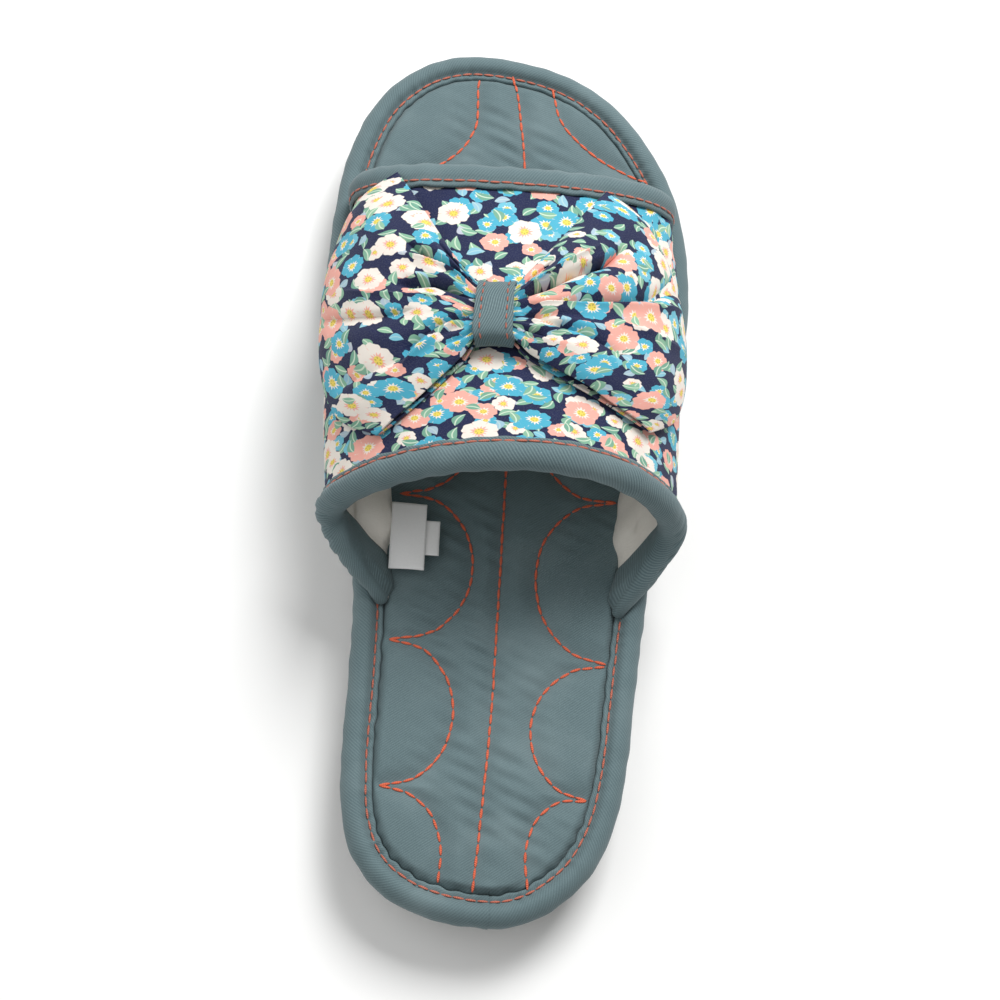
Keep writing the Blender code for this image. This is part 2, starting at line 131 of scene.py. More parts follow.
def makeEdge():
    keys = np.arccos(1 - 2 * np.array([row[0] for row in footbedRows])) / math.pi
    turn = np.linspace(0, 1, 1600)
    heel, ball = slipper["heelWidth"], slipper["ballWidth"]
    widths = smoothTable(keys, [heel + (ball - heel) * row[1] for row in footbedRows], turn)
    y = slipper["length"] * (1 - np.cos(math.pi * turn)) / 2
    sides = []
    for column in (3, 2):
        x = smoothTable(keys, [row[column] for row in footbedRows], turn) * widths
        run = runOf(np.hypot(np.diff(x), np.diff(y)))
        even = np.linspace(0, run[-1], sideSteps + 1)
        sides.append(np.column_stack([np.interp(even, run, x), np.interp(even, run, y)]))
    points = np.vstack([sides[0], sides[1][-2:0:-1]])
    smooth = 4
    tangent = np.roll(points, -smooth, axis=0) - np.roll(points, smooth, axis=0)
    tangent /= np.linalg.norm(tangent, axis=1)[:, None]
    normals = np.column_stack([tangent[:, 1], -tangent[:, 0]])
    return points, normals


edgePoints, edgeNormals = makeEdge()
edgeShares = np.linspace(0, 1, len(edgePoints) + 1)
edgeRun = float(np.sum(np.linalg.norm(np.roll(edgePoints, -1, axis=0) - edgePoints, axis=1)))


def edgeRead(table, share):
    closed = np.vstack([table, table[:1]])
    return np.column_stack([np.interp(np.mod(share, 1.0), edgeShares, closed[:, k]) for k in (0, 1)])


def toeLift(y):
    start = slipper["springStart"] * slipper["length"]
    return slipper["toeSpring"] * np.clip((y - start) / (slipper["length"] - start), 0, None) ** 2


def onEdge(share, inset, height, tuck=0.0, bulge=0.0):
    # a point at an inset from the footbed's edge; share, inset and height may be arrays
    point, normal = edgeRead(edgePoints, share), edgeRead(edgeNormals, share)
    inward = inset + tuck * np.clip(-normal[:, 1], 0, 1) ** 2 - bulge * normal[:, 0] ** 2
    placed = point - normal * np.broadcast_to(inward, share.shape)[:, None]
    return np.column_stack([placed, np.broadcast_to(height, share.shape) + toeLift(placed[:, 1])])


def spineOf(share):
    # the middle of the footbed beside a point of its edge; heel and toe share one point each
    point, mirror = edgeRead(edgePoints, share), edgeRead(edgePoints, 1 - np.mod(share, 1.0))
    y = np.clip((point[:, 1] + mirror[:, 1]) / 2, *slipper["spine"])
    outer = edgePoints[:sideSteps + 1]
    inner = np.vstack([edgePoints[:1], edgePoints[:sideSteps - 1:-1]])
    middle = (np.interp(y, outer[:, 1], outer[:, 0]) + np.interp(y, inner[:, 1], inner[:, 0])) / 2
    return np.column_stack([middle, y])


def edgeWay(share):
    # millimetres along the footbed's edge
    return share * edgeRun * 1000


def sideAt(inset, y, outer):
    share = np.linspace(0, 0.5, 400) if outer else np.linspace(1, 0.5, 400)
    loop = onEdge(share, inset, 0.0)
    return np.interp(y, loop[:, 1], loop[:, 0])


# ---- the vamp's outer face as a table, read at (around, along)
vampAlong = np.linspace(-0.08, 1.08, 175)
vampAround = np.linspace(0, 1, 481)


def vampArch(along):
    keys = [row[0] for row in vampRows]
    inside = min(max(along, 0.0), 1.0)
    inner, outer, crest, box, lean, nod, shift = [
        float(smoothTable(keys, [row[k] for row in vampRows], inside)) for k in range(1, 8)]
    length, ball = slipper["length"], slipper["ballWidth"]
    footY = length * (slipper["vampBack"] + (slipper["vampFront"] - slipper["vampBack"]) * along)
    rise = slipper["instepHeight"] * crest - vampFoot
    turn = np.linspace(0, math.pi, 1200)
    height = rise * np.sin(turn) ** (2 / box)
    across = -np.sign(np.cos(turn)) * np.abs(np.cos(turn)) ** (2 / box)
    out = 1 - np.exp(-(height / slipper["flareHeight"]) ** 2)
    inset = slipper["bindingWidth"] - slipper["lipWidth"]
    footX = np.where(across < 0, sideAt(inset, footY, False), sideAt(inset, footY, True))
    share = height / rise
    half = np.where(across < 0, inner, outer)
    x = footX + (ball * (across * half + shift * share ** 2) - footX) * out
    y = footY + length * (lean * out + nod * share)
    arch = np.column_stack([x, y, vampFoot + height + toeLift(footY)])
    run = runOf(np.linalg.norm(np.diff(arch, axis=0), axis=1))
    even = vampAround * run[-1]
    return np.column_stack([np.interp(even, run, arch[:, k]) for k in range(3)]), run[-1]


archesRead = [vampArch(a) for a in vampAlong]
vampTable = np.array([arch for arch, _ in archesRead])
vampWidths = np.array([width for _, width in archesRead])
vampSide = np.gradient(vampTable, axis=1)
vampAhead = np.gradient(vampTable, vampAlong, axis=0)
vampNormals = np.cross(vampSide, vampAhead)
vampNormals /= np.linalg.norm(vampNormals, axis=2)[:, :, None]


def vampRead(table, around, along):
    i = np.clip((along - vampAlong[0]) / (vampAlong[1] - vampAlong[0]), 0, len(vampAlong) - 1.001)
    j = np.clip(around, 0, 1) * (len(vampAround) - 1.001)
    a, b = i.astype(int), j.astype(int)
    s, t = (i - a)[:, None], (j - b)[:, None]
    return ((table[a, b] * (1 - t) + table[a, b + 1] * t) * (1 - s)
            + (table[a + 1, b] * (1 - t) + table[a + 1, b + 1] * t) * s)


def onVamp(around, along, lift=0.0, ahead=0.0):
    # a point lifted off the vamp by metres, and moved towards the toe by metres
    around, along = np.broadcast_arrays(np.asarray(around, float), np.asarray(along, float))
    around, along = around.ravel(), along.ravel()
    stretch = np.linalg.norm(vampRead(vampAhead, around, along), axis=1)
    along = along + np.asarray(ahead) / stretch
    normal = vampRead(vampNormals, around, along)
    normal /= np.linalg.norm(normal, axis=1)[:, None]
    return vampRead(vampTable, around, along) + normal * np.broadcast_to(lift, around.shape)[:, None]


def vampWide(along):
    return np.interp(along, vampAlong, vampWidths)


# the frame's slipper is centred over the origin, the tables above start at the heel
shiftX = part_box("sole_binding")[0][0] - onEdge(np.linspace(0, 1, 1441), 0.0, 0.0)[:, 0].min()
shiftHome = np.array([shiftX, -slipper["length"] / 2, 0.0])
print("slipper: tables made, shift", [round(float(s), 5) for s in shiftHome])


# ---- mesh helpers
def gridPiece(name, stepsU, stepsV, place, sizeUV, closed=True, facing=None):
    # a grid laid over the shoe by place(u, v), with its UV map laid by sizeUV; facing is a (u, v) of
    # the grid whose faces look up, for a sheet that isn't closed
    bm = bmesh.new()
    bm.loops.layers.uv.new("UVMap")
    bmesh.ops.create_grid(bm, x_segments=stepsU, y_segments=stepsV, size=0.5, calc_uvs=True)
    mesh = bpy.data.meshes.new(name)
    bm.to_mesh(mesh)
    bm.free()
    flat = np.zeros(len(mesh.vertices) * 3)
    mesh.vertices.foreach_get("co", flat)
    at = flat.reshape(-1, 3)[:, :2] + 0.5
    placed = place(at[:, 0], at[:, 1]) + shiftHome
    mesh.vertices.foreach_set("co", placed.ravel())
    owner = np.zeros(len(mesh.loops), np.int32)
    mesh.loops.foreach_get("vertex_index", owner)
    laid = sizeUV(at[:, 0], at[:, 1]) if callable(sizeUV) else at * np.array(sizeUV)
    mesh.uv_layers[0].data.foreach_set("uv", laid[owner].ravel())
    mesh.update()
    bm = bmesh.new()
    bm.from_mesh(mesh)
    if facing:
        bm.faces.ensure_lookup_table()
        seen = bm.faces[int(facing[1] * (stepsV - 1)) * stepsU + int(facing[0] * (stepsU - 1))]
        seen.normal_update()
        if seen.normal.z < 0:
            bmesh.ops.reverse_faces(bm, faces=bm.faces)
    if closed:
        bmesh.ops.remove_doubles(bm, verts=bm.verts, dist=0.000004)
        bmesh.ops.recalc_face_normals(bm, faces=bm.faces)
    return meshPiece(name, bm, mesh)


def meshPiece(name, bm, mesh=None):
    mesh = mesh or bpy.data.meshes.new(name)
    bm.to_mesh(mesh)
    bm.free()
    mesh.shade_smooth()
    piece = bpy.data.objects.new(name, mesh)
    bpy.context.scene.collection.objects.link(piece)
    return piece


def ride(piece, slot, *nodes):
    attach(piece, "root")
    if nodes:
        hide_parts(*nodes)


def wall(piece, thickness, offset=-1.0, inner=0):
    made = piece.modifiers.new("wall", "SOLIDIFY")
    made.thickness = thickness
    made.offset = offset
    made.use_even_offset = False
    made.use_quality_normals = True
    made.material_offset = inner
    made.material_offset_rim = 0
    return made


def walk(line, step):
    # even places along a polyline of (n, 3) points: points and directions
    run = runOf(np.linalg.norm(np.diff(line, axis=0), axis=1))
    count = max(1, int(run[-1] // step))
    at = (np.arange(count) + 0.5) * run[-1] / count
    behind, points, ahead = [np.column_stack([np.interp(where, run, line[:, k]) for k in range(3)])
                             for where in (at - step * 0.2, at, at + step * 0.2)]
    tangents = ahead - behind
    return points, tangents / np.linalg.norm(tangents, axis=1)[:, None]


def stitchRow(bm, line, up, look, seed):
    # threads as long beads; the UV map's v runs along each of them
    slant = look.get("slant", 0.0)
    points, tangents = walk(line, look["pitch"])
    ups = np.column_stack([np.interp(np.linspace(0, 1, len(points)), np.linspace(0, 1, len(up)), up[:, k])
                           for k in range(3)])
    dice = random.Random(seed)
    for point, ahead, lift in zip(points, tangents, ups):
        z = Vector(ahead)
        x = Vector(lift).cross(z).normalized()
        y = z.cross(x)
        if slant:
            z = (z + x * slant).normalized()
            x = y.cross(z)
        long = look["pitch"] * look["share"] / 2 * dice.uniform(0.92, 1.06)
        thick = look["thick"] / 2 * dice.uniform(0.92, 1.08)
        turn = Matrix((x, y, z)).transposed().to_4x4()
        turn.translation = Vector(point + shiftHome) + y * look["proud"] + x * dice.uniform(-1, 1) * 0.00008
        size = Matrix.Diagonal((thick, thick * 0.8, long, 1.0))
        bmesh.ops.create_uvsphere(bm, u_segments=6, v_segments=6, radius=1.0, matrix=turn @ size,
                                  calc_uvs=True)


# ---- shader helpers
fullTurn = 6.2832


def colour(red, green, blue):
    # screen colours 0-255 to a linear colour
    parts = [c / 255 for c in (red, green, blue)]
    return tuple(c / 12.92 if c <= 0.04045 else ((c + 0.055) / 1.055) ** 2.4 for c in parts) + (1.0,)


def signPair(operation):
    # the two ways to write one Math node: the wire first, or the other value first
    def plain(self, other):
        return self.sum(operation, self, other)

    def reflected(self, other):
        return self.sum(operation, other, self)

    return plain, reflected


class Wire:
    # a socket that can be used in plain sums; each sum adds its Math node
    def __init__(self, finish, socket):
        self.finish = finish
        self.socket = socket

    __add__, __radd__ = signPair("ADD")
    __sub__, __rsub__ = signPair("SUBTRACT")
    __mul__, __rmul__ = signPair("MULTIPLY")
    __truediv__, __rtruediv__ = signPair("DIVIDE")
    __pow__, __rpow__ = signPair("POWER")
    __lt__, __gt__ = signPair("LESS_THAN")

    def sum(self, operation, *values, clamp=False):
        settings = {"operation": operation, "use_clamp": clamp}
        return self.finish.add("ShaderNodeMath", settings, dict(enumerate(values))).out(0)

    def sin(self):
        return self.sum("SINE", self)

    def cos(self):
        return self.sum("COSINE", self)

    def floor(self):
        return self.sum("FLOOR", self)

    def abs(self):
        return self.sum("ABSOLUTE", self)

    def clamp(self):
        return self.sum("ADD", self, 0.0, clamp=True)


class Added:
    def __init__(self, finish, node):
        self.finish = finish
        self.node = node

    def out(self, which):
        return Wire(self.finish, self.node.outputs[which])


class Finish:
    # one material and the ways to add nodes to it
    def __init__(self, name, roughness=0.85, sheen=0.0):
        self.material = bpy.data.materials.new(name)
        self.material.use_nodes = True
        self.tree = self.material.node_tree
        self.shader = self.tree.nodes["Principled BSDF"]
        self.shader.inputs["Roughness"].default_value = roughness
        self.shader.inputs["Sheen Weight"].default_value = sheen
        self.shader.inputs["Specular IOR Level"].default_value = 0.3

    def add(self, kind, settings=None, values=None):
        made = self.tree.nodes.new(kind)
        for key, value in (settings or {}).items():
            if key == "stops":
                self.setStops(made.color_ramp, value)
            else:
                setattr(made, key, value)
        for key, value in (values or {}).items():
            self.feed(made.inputs[key], value)
        return Added(self, made)

    def setStops(self, ramp, stops):
        while len(ramp.elements) < len(stops):
            ramp.elements.new(1.0)
        for element, (place, shade) in zip(ramp.elements, stops):
            element.position = place
            element.color = shade

    def feed(self, socket, value):
        if isinstance(value, Wire):
            self.tree.links.new(value.socket, socket)
        else:
            socket.default_value = value

    def uv(self):
        return self.add("ShaderNodeUVMap", {"uv_map": "UVMap"}).out(0)

    def place(self):
        return self.add("ShaderNodeTexCoord").out("Object")

    def vector(self, operation, a, b=(0.0, 0.0, 0.0)):
        return self.add("ShaderNodeVectorMath", {"operation": operation}, {0: a, 1: b}).out(0)

    def turned(self, vector, angle=0.0, scale=(1.0, 1.0, 1.0), move=(0.0, 0.0, 0.0)):
        values = {"Vector": vector, "Rotation": (0.0, 0.0, angle), "Scale": scale, "Location": move}
        return self.add("ShaderNodeMapping", {}, values).out(0)

    def split(self, vector):
        made = self.add("ShaderNodeSeparateXYZ", {}, {0: vector})
        return made.out(0), made.out(1), made.out(2)

    def noise(self, vector, scale, detail=2.0, rough=0.5):
        values = {"Vector": vector, "Scale": scale, "Detail": detail, "Roughness": rough}
        return self.add("ShaderNodeTexNoise", {"noise_dimensions": "3D"}, values).out(0)

    def mix(self, factor, a, b, blend="MIX"):
        made = self.add("ShaderNodeMix", {"data_type": "RGBA", "blend_type": blend}, {0: factor, 6: a, 7: b})
        return made.out(2)

    def steps(self, factor, stops):
        # a colour ramp without blending
        made = self.add("ShaderNodeValToRGB", {"stops": stops}, {0: factor})
        made.node.color_ramp.interpolation = "CONSTANT"
        return made.out(0)

    def range(self, value, low, high, to=(0.0, 1.0)):
        values = {0: value, 1: low, 2: high, 3: to[0], 4: to[1]}
        return self.add("ShaderNodeMapRange", {"interpolation_type": "SMOOTHSTEP"}, values).out(0)

    def finish(self, base, bump=None, depth=0.0005, roughness=None, strength=1.0):
        self.feed(self.shader.inputs["Base Color"], base)
        if roughness is not None:
            self.feed(self.shader.inputs["Roughness"], roughness)
        if bump is not None:
            values = {"Height": bump, "Distance": depth, "Strength": strength}
            made = self.add("ShaderNodeBump", {}, values)
            self.tree.links.new(made.node.outputs[0], self.shader.inputs["Normal"])
        return self.material


# ---- finishes
twillLook = {
    "float": 0.0011, "deep": 0.00010,
    "ridge": colour(114, 134, 137), "groove": colour(68, 87, 92), "faded": colour(128, 145, 148),
}


def twillFinish(name, onUV, angle, pitch, clear):
    # diagonal ridges of warp over weft; clear is how strongly they show. The ridge and groove colours are
    # partly the yarns' own colours and partly painted highlight on the ridges and painted shade in the
    # grooves
    look = twillLook
    cloth = Finish(name, 0.82, 0.12)
    at = cloth.uv() if onUV else cloth.place()
    drift = cloth.noise(at, 60.0, 2.0)
    x, y, _ = cloth.split(cloth.turned(at, angle, (1.0 / pitch,) * 3))
    line = x + (drift - 0.5) * 0.5
    ridge = ((line * fullTurn).sin() * 0.5 + 0.5)
    step = line.floor() * 0.37
    thread = ((y * pitch / look["float"] * 2 + step) * fullTurn).sin() * 0.5 + 0.5
    weave = (ridge * (0.72 + 0.28 * thread)).clamp()
    fine = cloth.noise(at, 2600.0, 2.0)
    broad = cloth.noise(at, 45.0, 3.0)
    # lighter on the weave's ridges and darker in its grooves: the yarns' own colours plus painted highlight
    # and painted shade
    base = cloth.mix(0.5 + (weave - 0.45) * clear + (fine - 0.5) * 0.5, look["groove"], look["ridge"])
    base = cloth.mix(cloth.range(broad, 0.45, 0.75) * 0.3, base, look["faded"])
    height = weave * clear + (fine - 0.5) * 0.4
    return cloth.finish(base, height, look["deep"], 0.78 + (1 - weave) * 0.12)


floralLook = {
    "navy": colour(24, 34, 76), "night": colour(19, 27, 62), "turquoise": colour(74, 170, 196),
    "sky": colour(110, 186, 206), "coral": colour(236, 170, 156), "cream": colour(234, 226, 216),
    "yellow": colour(232, 210, 92), "leaf": colour(142, 186, 156), "leafDark": colour(104, 156, 136),
    "rib": colour(214, 228, 206), "grey": colour(184, 190, 202), "ink": colour(150, 120, 80),
    "fuzz": colour(225, 225, 222), "soft": 0.00014,
}
# layers of the print from the lowest up: those with petals are flowers, the others leaves
greenLeaf = {"cell": 0.0068, "angle": 0.35, "move": (0.31, 0.12), "jitter": 0.30, "long": 0.0029,
             "wide": 0.0014, "share": 0.80, "tones": ("leaf", "leafDark"), "rib": 0.8}
printLayers = [
    greenLeaf,
    dict(greenLeaf, cell=0.0075, angle=-0.5, move=(0.2, 0.8), share=0.7, long=0.0026,
         tones=("grey", "sky"), rib=0.3),
    {"cell": 0.0082, "angle": 0.62, "move": (0.15, 0.55), "jitter": 0.24, "low": 0.0026, "high": 0.0033,
     "petals": 5, "points": 9, "share": 0.55,
     "tones": [(0.0, "turquoise"), (0.35, "coral"), (0.58, "cream"), (0.8, "sky")]},
    {"cell": 0.0118, "angle": 0.18, "move": (0.4, 0.2), "jitter": 0.20, "low": 0.0038, "high": 0.0046,
     "petals": 6, "points": 11, "share": 0.74,
     "tones": [(0.0, "turquoise"), (0.52, "coral"), (0.78, "cream")]},
    dict(greenLeaf, cell=0.0094, angle=0.9, move=(0.05, 0.33), share=0.75),
    {"cell": 0.0142, "angle": -0.42, "move": (0.75, 0.6), "jitter": 0.20, "low": 0.0044, "high": 0.0053,
     "petals": 6, "points": 13, "share": 0.72,
     "tones": [(0.0, "cream"), (0.48, "coral"), (0.72, "turquoise")]},
    dict(greenLeaf, cell=0.0122, angle=0.2, move=(0.6, 0.15), share=0.5),
]


def latticeCell(cloth, at, cell, angle, move, jitter):
    # cells of one lattice: place in the cell from a moved centre in metres, and three random numbers
    grid = cloth.turned(at, angle, (1.0 / cell, 1.0 / cell, 1.0), (move[0], move[1], 0.0))
    mark = cloth.vector("FLOOR", grid)
    inside = cloth.vector("FRACTION", grid)
    dice = cloth.add("ShaderNodeTexWhiteNoise", {"noise_dimensions": "2D"}, {"Vector": mark})
    again = cloth.add("ShaderNodeTexWhiteNoise", {"noise_dimensions": "2D"},
                      {"Vector": cloth.vector("ADD", mark, (17.3, 5.1, 0.0))})
    split = lambda made: [made.out(k) for k in range(3)]
    jog = split(cloth.add("ShaderNodeSeparateColor", {}, {0: dice.out("Color")}))
    pick = split(cloth.add("ShaderNodeSeparateColor", {}, {0: again.out("Color")}))
    x, y, _ = cloth.split(inside)
    x = (x - 0.5 - (jog[0] - 0.5) * jitter) * cell
    y = (y - 0.5 - (jog[1] - 0.5) * jitter) * cell
    return x, y, jog[2], pick


def flowerLattice(cloth, at, base, look):
    # round flowers with wavy petals, fine rays and a dotted yellow middle
    x, y, spin, pick = latticeCell(cloth, at, look["cell"], look["angle"], look["move"], look["jitter"])
    away = (x * x + y * y) ** 0.5
    turn = x.sum("ARCTAN2", y, x) + spin * fullTurn
    radius = look["low"] + (look["high"] - look["low"]) * pick[0]
    petals = look["petals"]
    lobe = (turn * (petals / 2)).cos().abs()
    ruffle = (turn * (petals * 2 + 1) + pick[1] * 6).sin() * 0.03
    edge = radius * (0.84 + 0.16 * lobe ** 0.6 + ruffle)
    there = pick[2] < look["share"]
    mask = ((edge - away) / floralLook["soft"]).clamp() * there
    near = away / radius
    # the rays are coral on a cream flower, cream on the others
    petal = cloth.steps(pick[1], [(stop, floralLook[tone]) for stop, tone in look["tones"]])
    rays = cloth.steps(pick[1], [(stop, floralLook["coral" if tone == "cream" else "cream"])
                                 for stop, tone in look["tones"]])
    # a ragged burst of pointed rays, a yellow middle with a few dots, a nick between two petals
    burst = turn * (look["points"] / fullTurn)
    point = burst.sum("PINGPONG", burst, 0.5) * 2
    reach = 0.26 + 0.22 * point ** 1.3 + 0.06 * (turn * 3 + spin * 5).sin()
    petal = cloth.mix(cloth.range(near - reach, 0.03, -0.03), petal, rays)
    nick = cloth.range(lobe, 0.16, 0.04) * cloth.range(near, 0.62, 0.80)
    petal = cloth.mix(nick * 0.5, petal, rays)
    petal = cloth.mix(cloth.range(near, 0.27, 0.22), petal, floralLook["yellow"])
    ring = cloth.range(near, 0.08, 0.12) * cloth.range(near, 0.22, 0.18)
    speck = cloth.range((turn * 5 + 1.0).sin(), 0.3, 0.7) * ring
    petal = cloth.mix(speck * 0.7, petal, floralLook["ink"])
    return cloth.mix(mask, base, petal)


def leafLattice(cloth, at, base, look):
    # pointed leaves with a pale rib, each turned its own way
    x, y, spin, pick = latticeCell(cloth, at, look["cell"], look["angle"], look["move"], look["jitter"])
    sine, cosine = (spin * fullTurn).sin(), (spin * fullTurn).cos()
    along = x * cosine + y * sine
    across = y * cosine - x * sine
    bend = across + along * along / look["long"] * 0.35
    long = look["long"] * (0.75 + 0.25 * pick[0])
    share = along / long
    half = look["wide"] * (1 - share * share) * (1 - 0.25 * share)
    inside = (pick[2] < look["share"]) * (share.abs() < 1.0)
    mask = ((half - bend.abs()) / floralLook["soft"]).clamp() * inside
    tone = cloth.mix(pick[1], *[floralLook[name] for name in look["tones"]])
    rib = cloth.range(bend.abs(), look["wide"] * 0.20, look["wide"] * 0.08)
    tone = cloth.mix(rib * look["rib"], tone, floralLook["rib"])
    return cloth.mix(mask, base, tone)


def floralFinish(name, seed, angle):
    look = floralLook
    cloth = Finish(name, 0.8, 0.04)
    at = cloth.turned(cloth.uv(), angle, (1.0, 1.0, 1.0), (seed, seed * 0.7, 0.0))
    warp = cloth.add("ShaderNodeTexNoise", {}, {"Vector": at, "Scale": 90.0, "Detail": 1.0}).out("Color")
    drift = cloth.vector("SUBTRACT", warp, (0.5, 0.5, 0.5))
    at = cloth.vector("ADD", at, cloth.vector("MULTIPLY", drift, (0.0016, 0.0016, 0.0)))
    base = cloth.mix(cloth.noise(at, 300.0), look["navy"], look["night"])
    for layer in printLayers:
        lattice = flowerLattice if "petals" in layer else leafLattice
        base = lattice(cloth, at, base, layer)
    x, y, _ = cloth.split(cloth.turned(cloth.uv(), 0.0, (1.0 / 0.00034,) * 3))
    threads = (x * fullTurn).sin() * (y * fullTurn).sin()
    fine = cloth.noise(cloth.uv(), 2400.0, 2.0)
    base = cloth.mix(((fine - 0.5) * 0.14 + 0.01).clamp(), base, look["fuzz"])
    return cloth.finish(base, threads * 0.5 + fine * 0.5, 0.00005, 0.80 + (fine - 0.5) * 0.1)


def clothFinish(name, tone, dark, pitch=0.00045, rough=0.88, depth=0.00006, blotch=0.2):
    # plain woven cloth
    cloth = Finish(name, rough, 0.15)
    at = cloth.uv()
    x, y, _ = cloth.split(cloth.turned(at, 0.0, (1.0 / pitch,) * 3))
    threads = (x * fullTurn).sin() * (y * fullTurn).sin() * 0.5 + 0.5
    fine = cloth.noise(at, 1500.0, 2.0)
    base = cloth.mix((threads * 0.35 + fine * 0.4).clamp(), dark, tone)
    base = cloth.mix(cloth.range(cloth.noise(at, 70.0, 3.0), 0.4, 0.8) * blotch, base, dark)
    return cloth.finish(base, threads * 0.6 + fine, depth, rough + (fine - 0.5) * 0.1)


def threadFinish(name, tone, dark, endShade):
    # twisted thread, with painted shade at the ends where it dives into the cloth
    thread = Finish(name, 0.55, 0.1)
    u, v, _ = thread.split(thread.uv())
    twist = ((v * 9 + u * 2) * fullTurn).sin() * 0.5 + 0.5
    base = thread.mix(twist * 0.6, tone, dark)
    ends = thread.range((v - 0.5).abs(), 0.36, 0.47)
    base = thread.mix(ends, base, endShade)
    return thread.finish(base, twist, 0.00012, 0.5 + ends * 0.3)


def rubberFinish(name):
    sole = Finish(name, 0.75)
    at = sole.place()
    cells = sole.add("ShaderNodeTexVoronoi", {"feature": "F1"}, {"Vector": at, "Scale": 420.0}).out(0)
    fine = sole.noise(at, 1800.0, 2.0)
    base = sole.mix(sole.noise(at, 60.0, 3.0), colour(58, 60, 62), colour(84, 86, 86))
    base = sole.mix(sole.range(cells, 0.2, 0.55) * 0.3, base, colour(44, 46, 48))
    return sole.finish(base, cells * 0.6 + fine * 0.4, 0.0003, 0.72 + fine * 0.15)


twillFootbed = twillFinish("twill_footbed", False, 0.95, 0.00060, 0.32)
twillBinding = twillFinish("twill_binding", True, 0.72, 0.00072, 0.35)
twillRoll = twillFinish("twill_roll", True, 0.62, 0.00072, 0.55)
twillStrip = twillFinish("twill_strip", True, 0.62, 0.00072, 0.35)
twillRibbon = twillFinish("twill_ribbon", True, -0.4, 0.00072, 0.9)
floralCloth = floralFinish("floral_cloth", 0.0, 0.0)
floralLeft = floralFinish("floral_wing_left", 0.137, 0.5)
floralRight = floralFinish("floral_wing_right", 0.291, -0.35)
lining = clothFinish("lining_cloth", colour(250, 247, 240), colour(228, 223, 212))
wallCloth = clothFinish("wall_cloth", colour(176, 178, 174), colour(128, 131, 130),
                        0.0006, 0.8, 0.00012, 0.35)
feltCloth = clothFinish("felt_cloth", colour(222, 214, 194), colour(188, 178, 156), 0.0003, 0.95, 0.0002)
labelCloth = clothFinish("label_cloth", colour(253, 253, 252), colour(236, 237, 237),
                         0.0003, 0.6, 0.00003, 0.05)
# the third colour of each thread is the painted shade at its ends
coralThread = threadFinish("coral_thread", colour(232, 112, 78), colour(196, 82, 56), colour(80, 46, 54))
dullThread = threadFinish("dull_thread", colour(204, 118, 96), colour(164, 88, 74), colour(70, 52, 60))
blackThread = threadFinish("black_thread", colour(36, 36, 38), colour(14, 14, 16), colour(20, 20, 22))
soleRubber = rubberFinish("sole_sheet")
print("slipper: finishes made")


def give(piece, *materials):
    for material in materials:
        piece.data.materials.append(material)


upward = np.array([[0.0, 0.0, 1.0], [0.0, 0.0, 1.0]])


def stitchPiece(name, slot, thread, look, rows):
    # rows holds (line, ups, seed) of each row of stitches
    bm = bmesh.new()
    bm.loops.layers.uv.new("UVMap")
    for line, ups, seed in rows:
        stitchRow(bm, line, ups, look, seed)
    piece = meshPiece(name, bm)
    give(piece, thread)
    ride(piece, slot)


def vampSeam(name, along, start, stop, lift, ahead, look, seed):
    # a row of stitches across the vamp, at one of its edges
    around = np.linspace(start, stop, 400)
    along = np.full_like(around, along)
    line = onVamp(around, along, lift, ahead)
    stitchPiece(name, "twill", dullThread, look, [(line, vampRead(vampNormals, around, along), seed)])


# ---- layers of the sole: rows of (inset, way in to the middle, height)
def bedPiece(name, rows, look, shape=None):
    insets, ways, heights = [np.array([row[k] for row in rows]) for k in range(3)]
    last, tuck = len(rows) - 1, look["tuck"]

    def place(u, v):
        row = rowOf(v, last)
        edge = onEdge(u, insets[row], heights[row], tuck)
        if shape is not None:
            edge = shape(u, row, edge)
        way = ways[row][:, None]
        edge[:, :2] = edge[:, :2] * (1 - way) + spineOf(u) * way
        edge[:, 2] += toeLift(edge[:, 1]) - toeLift(onEdge(u, insets[row], 0.0, tuck)[:, 1])
        return edge

    def lay(u, v):
        run = runOf(np.hypot(np.diff(insets) + np.diff(ways) * slipper["halfWide"], np.diff(heights)))
        return np.column_stack([u * edgeRun, run[rowOf(v, last)]])

    return gridPiece(name, look["steps"], last, place, lay)


def fan(inset, height, ways):
    return [(inset, way, height) for way in ways]


outsoleLook = {"edge": 0.0018, "round": 0.0008, "tuck": 0.0040, "steps": 360}


def makeOutsole():
    look = outsoleLook
    top, edge, soft = slipper["outsoleTop"], look["edge"], look["round"]
    rows = fan(edge + soft, 0.0, (1.0, 0.75, 0.5, 0.25, 0.08))
    quarter = np.linspace(0, math.pi / 2, 5)
    rows += [(edge + soft * (1 - math.sin(a)), 0.0, soft * (1 - math.cos(a))) for a in quarter]
    rows += [(edge + soft * (1 - math.cos(a)), 0.0, top - soft * (1 - math.sin(a))) for a in quarter]
    rows += fan(edge + soft, top, (0.3, 1.0))
    piece = bedPiece("outsole_sheet", rows, look)
    give(piece, soleRubber)
    ride(piece, "outsole_sheet", "outsole")


midsoleLook = {
    "bulge": 0.0003, "tuck": 0.0040, "pucker": 0.00034, "steps": 1500,
    "sides": [(0.0020, 0.00), (0.0009, 0.06), (0.0004, 0.16), (0.0001, 0.3), (0.0, 0.45), (0.0, 0.6),
              (0.0003, 0.74), (0.0008, 0.86), (0.0015, 0.95), (0.0026, 1.0)],
}


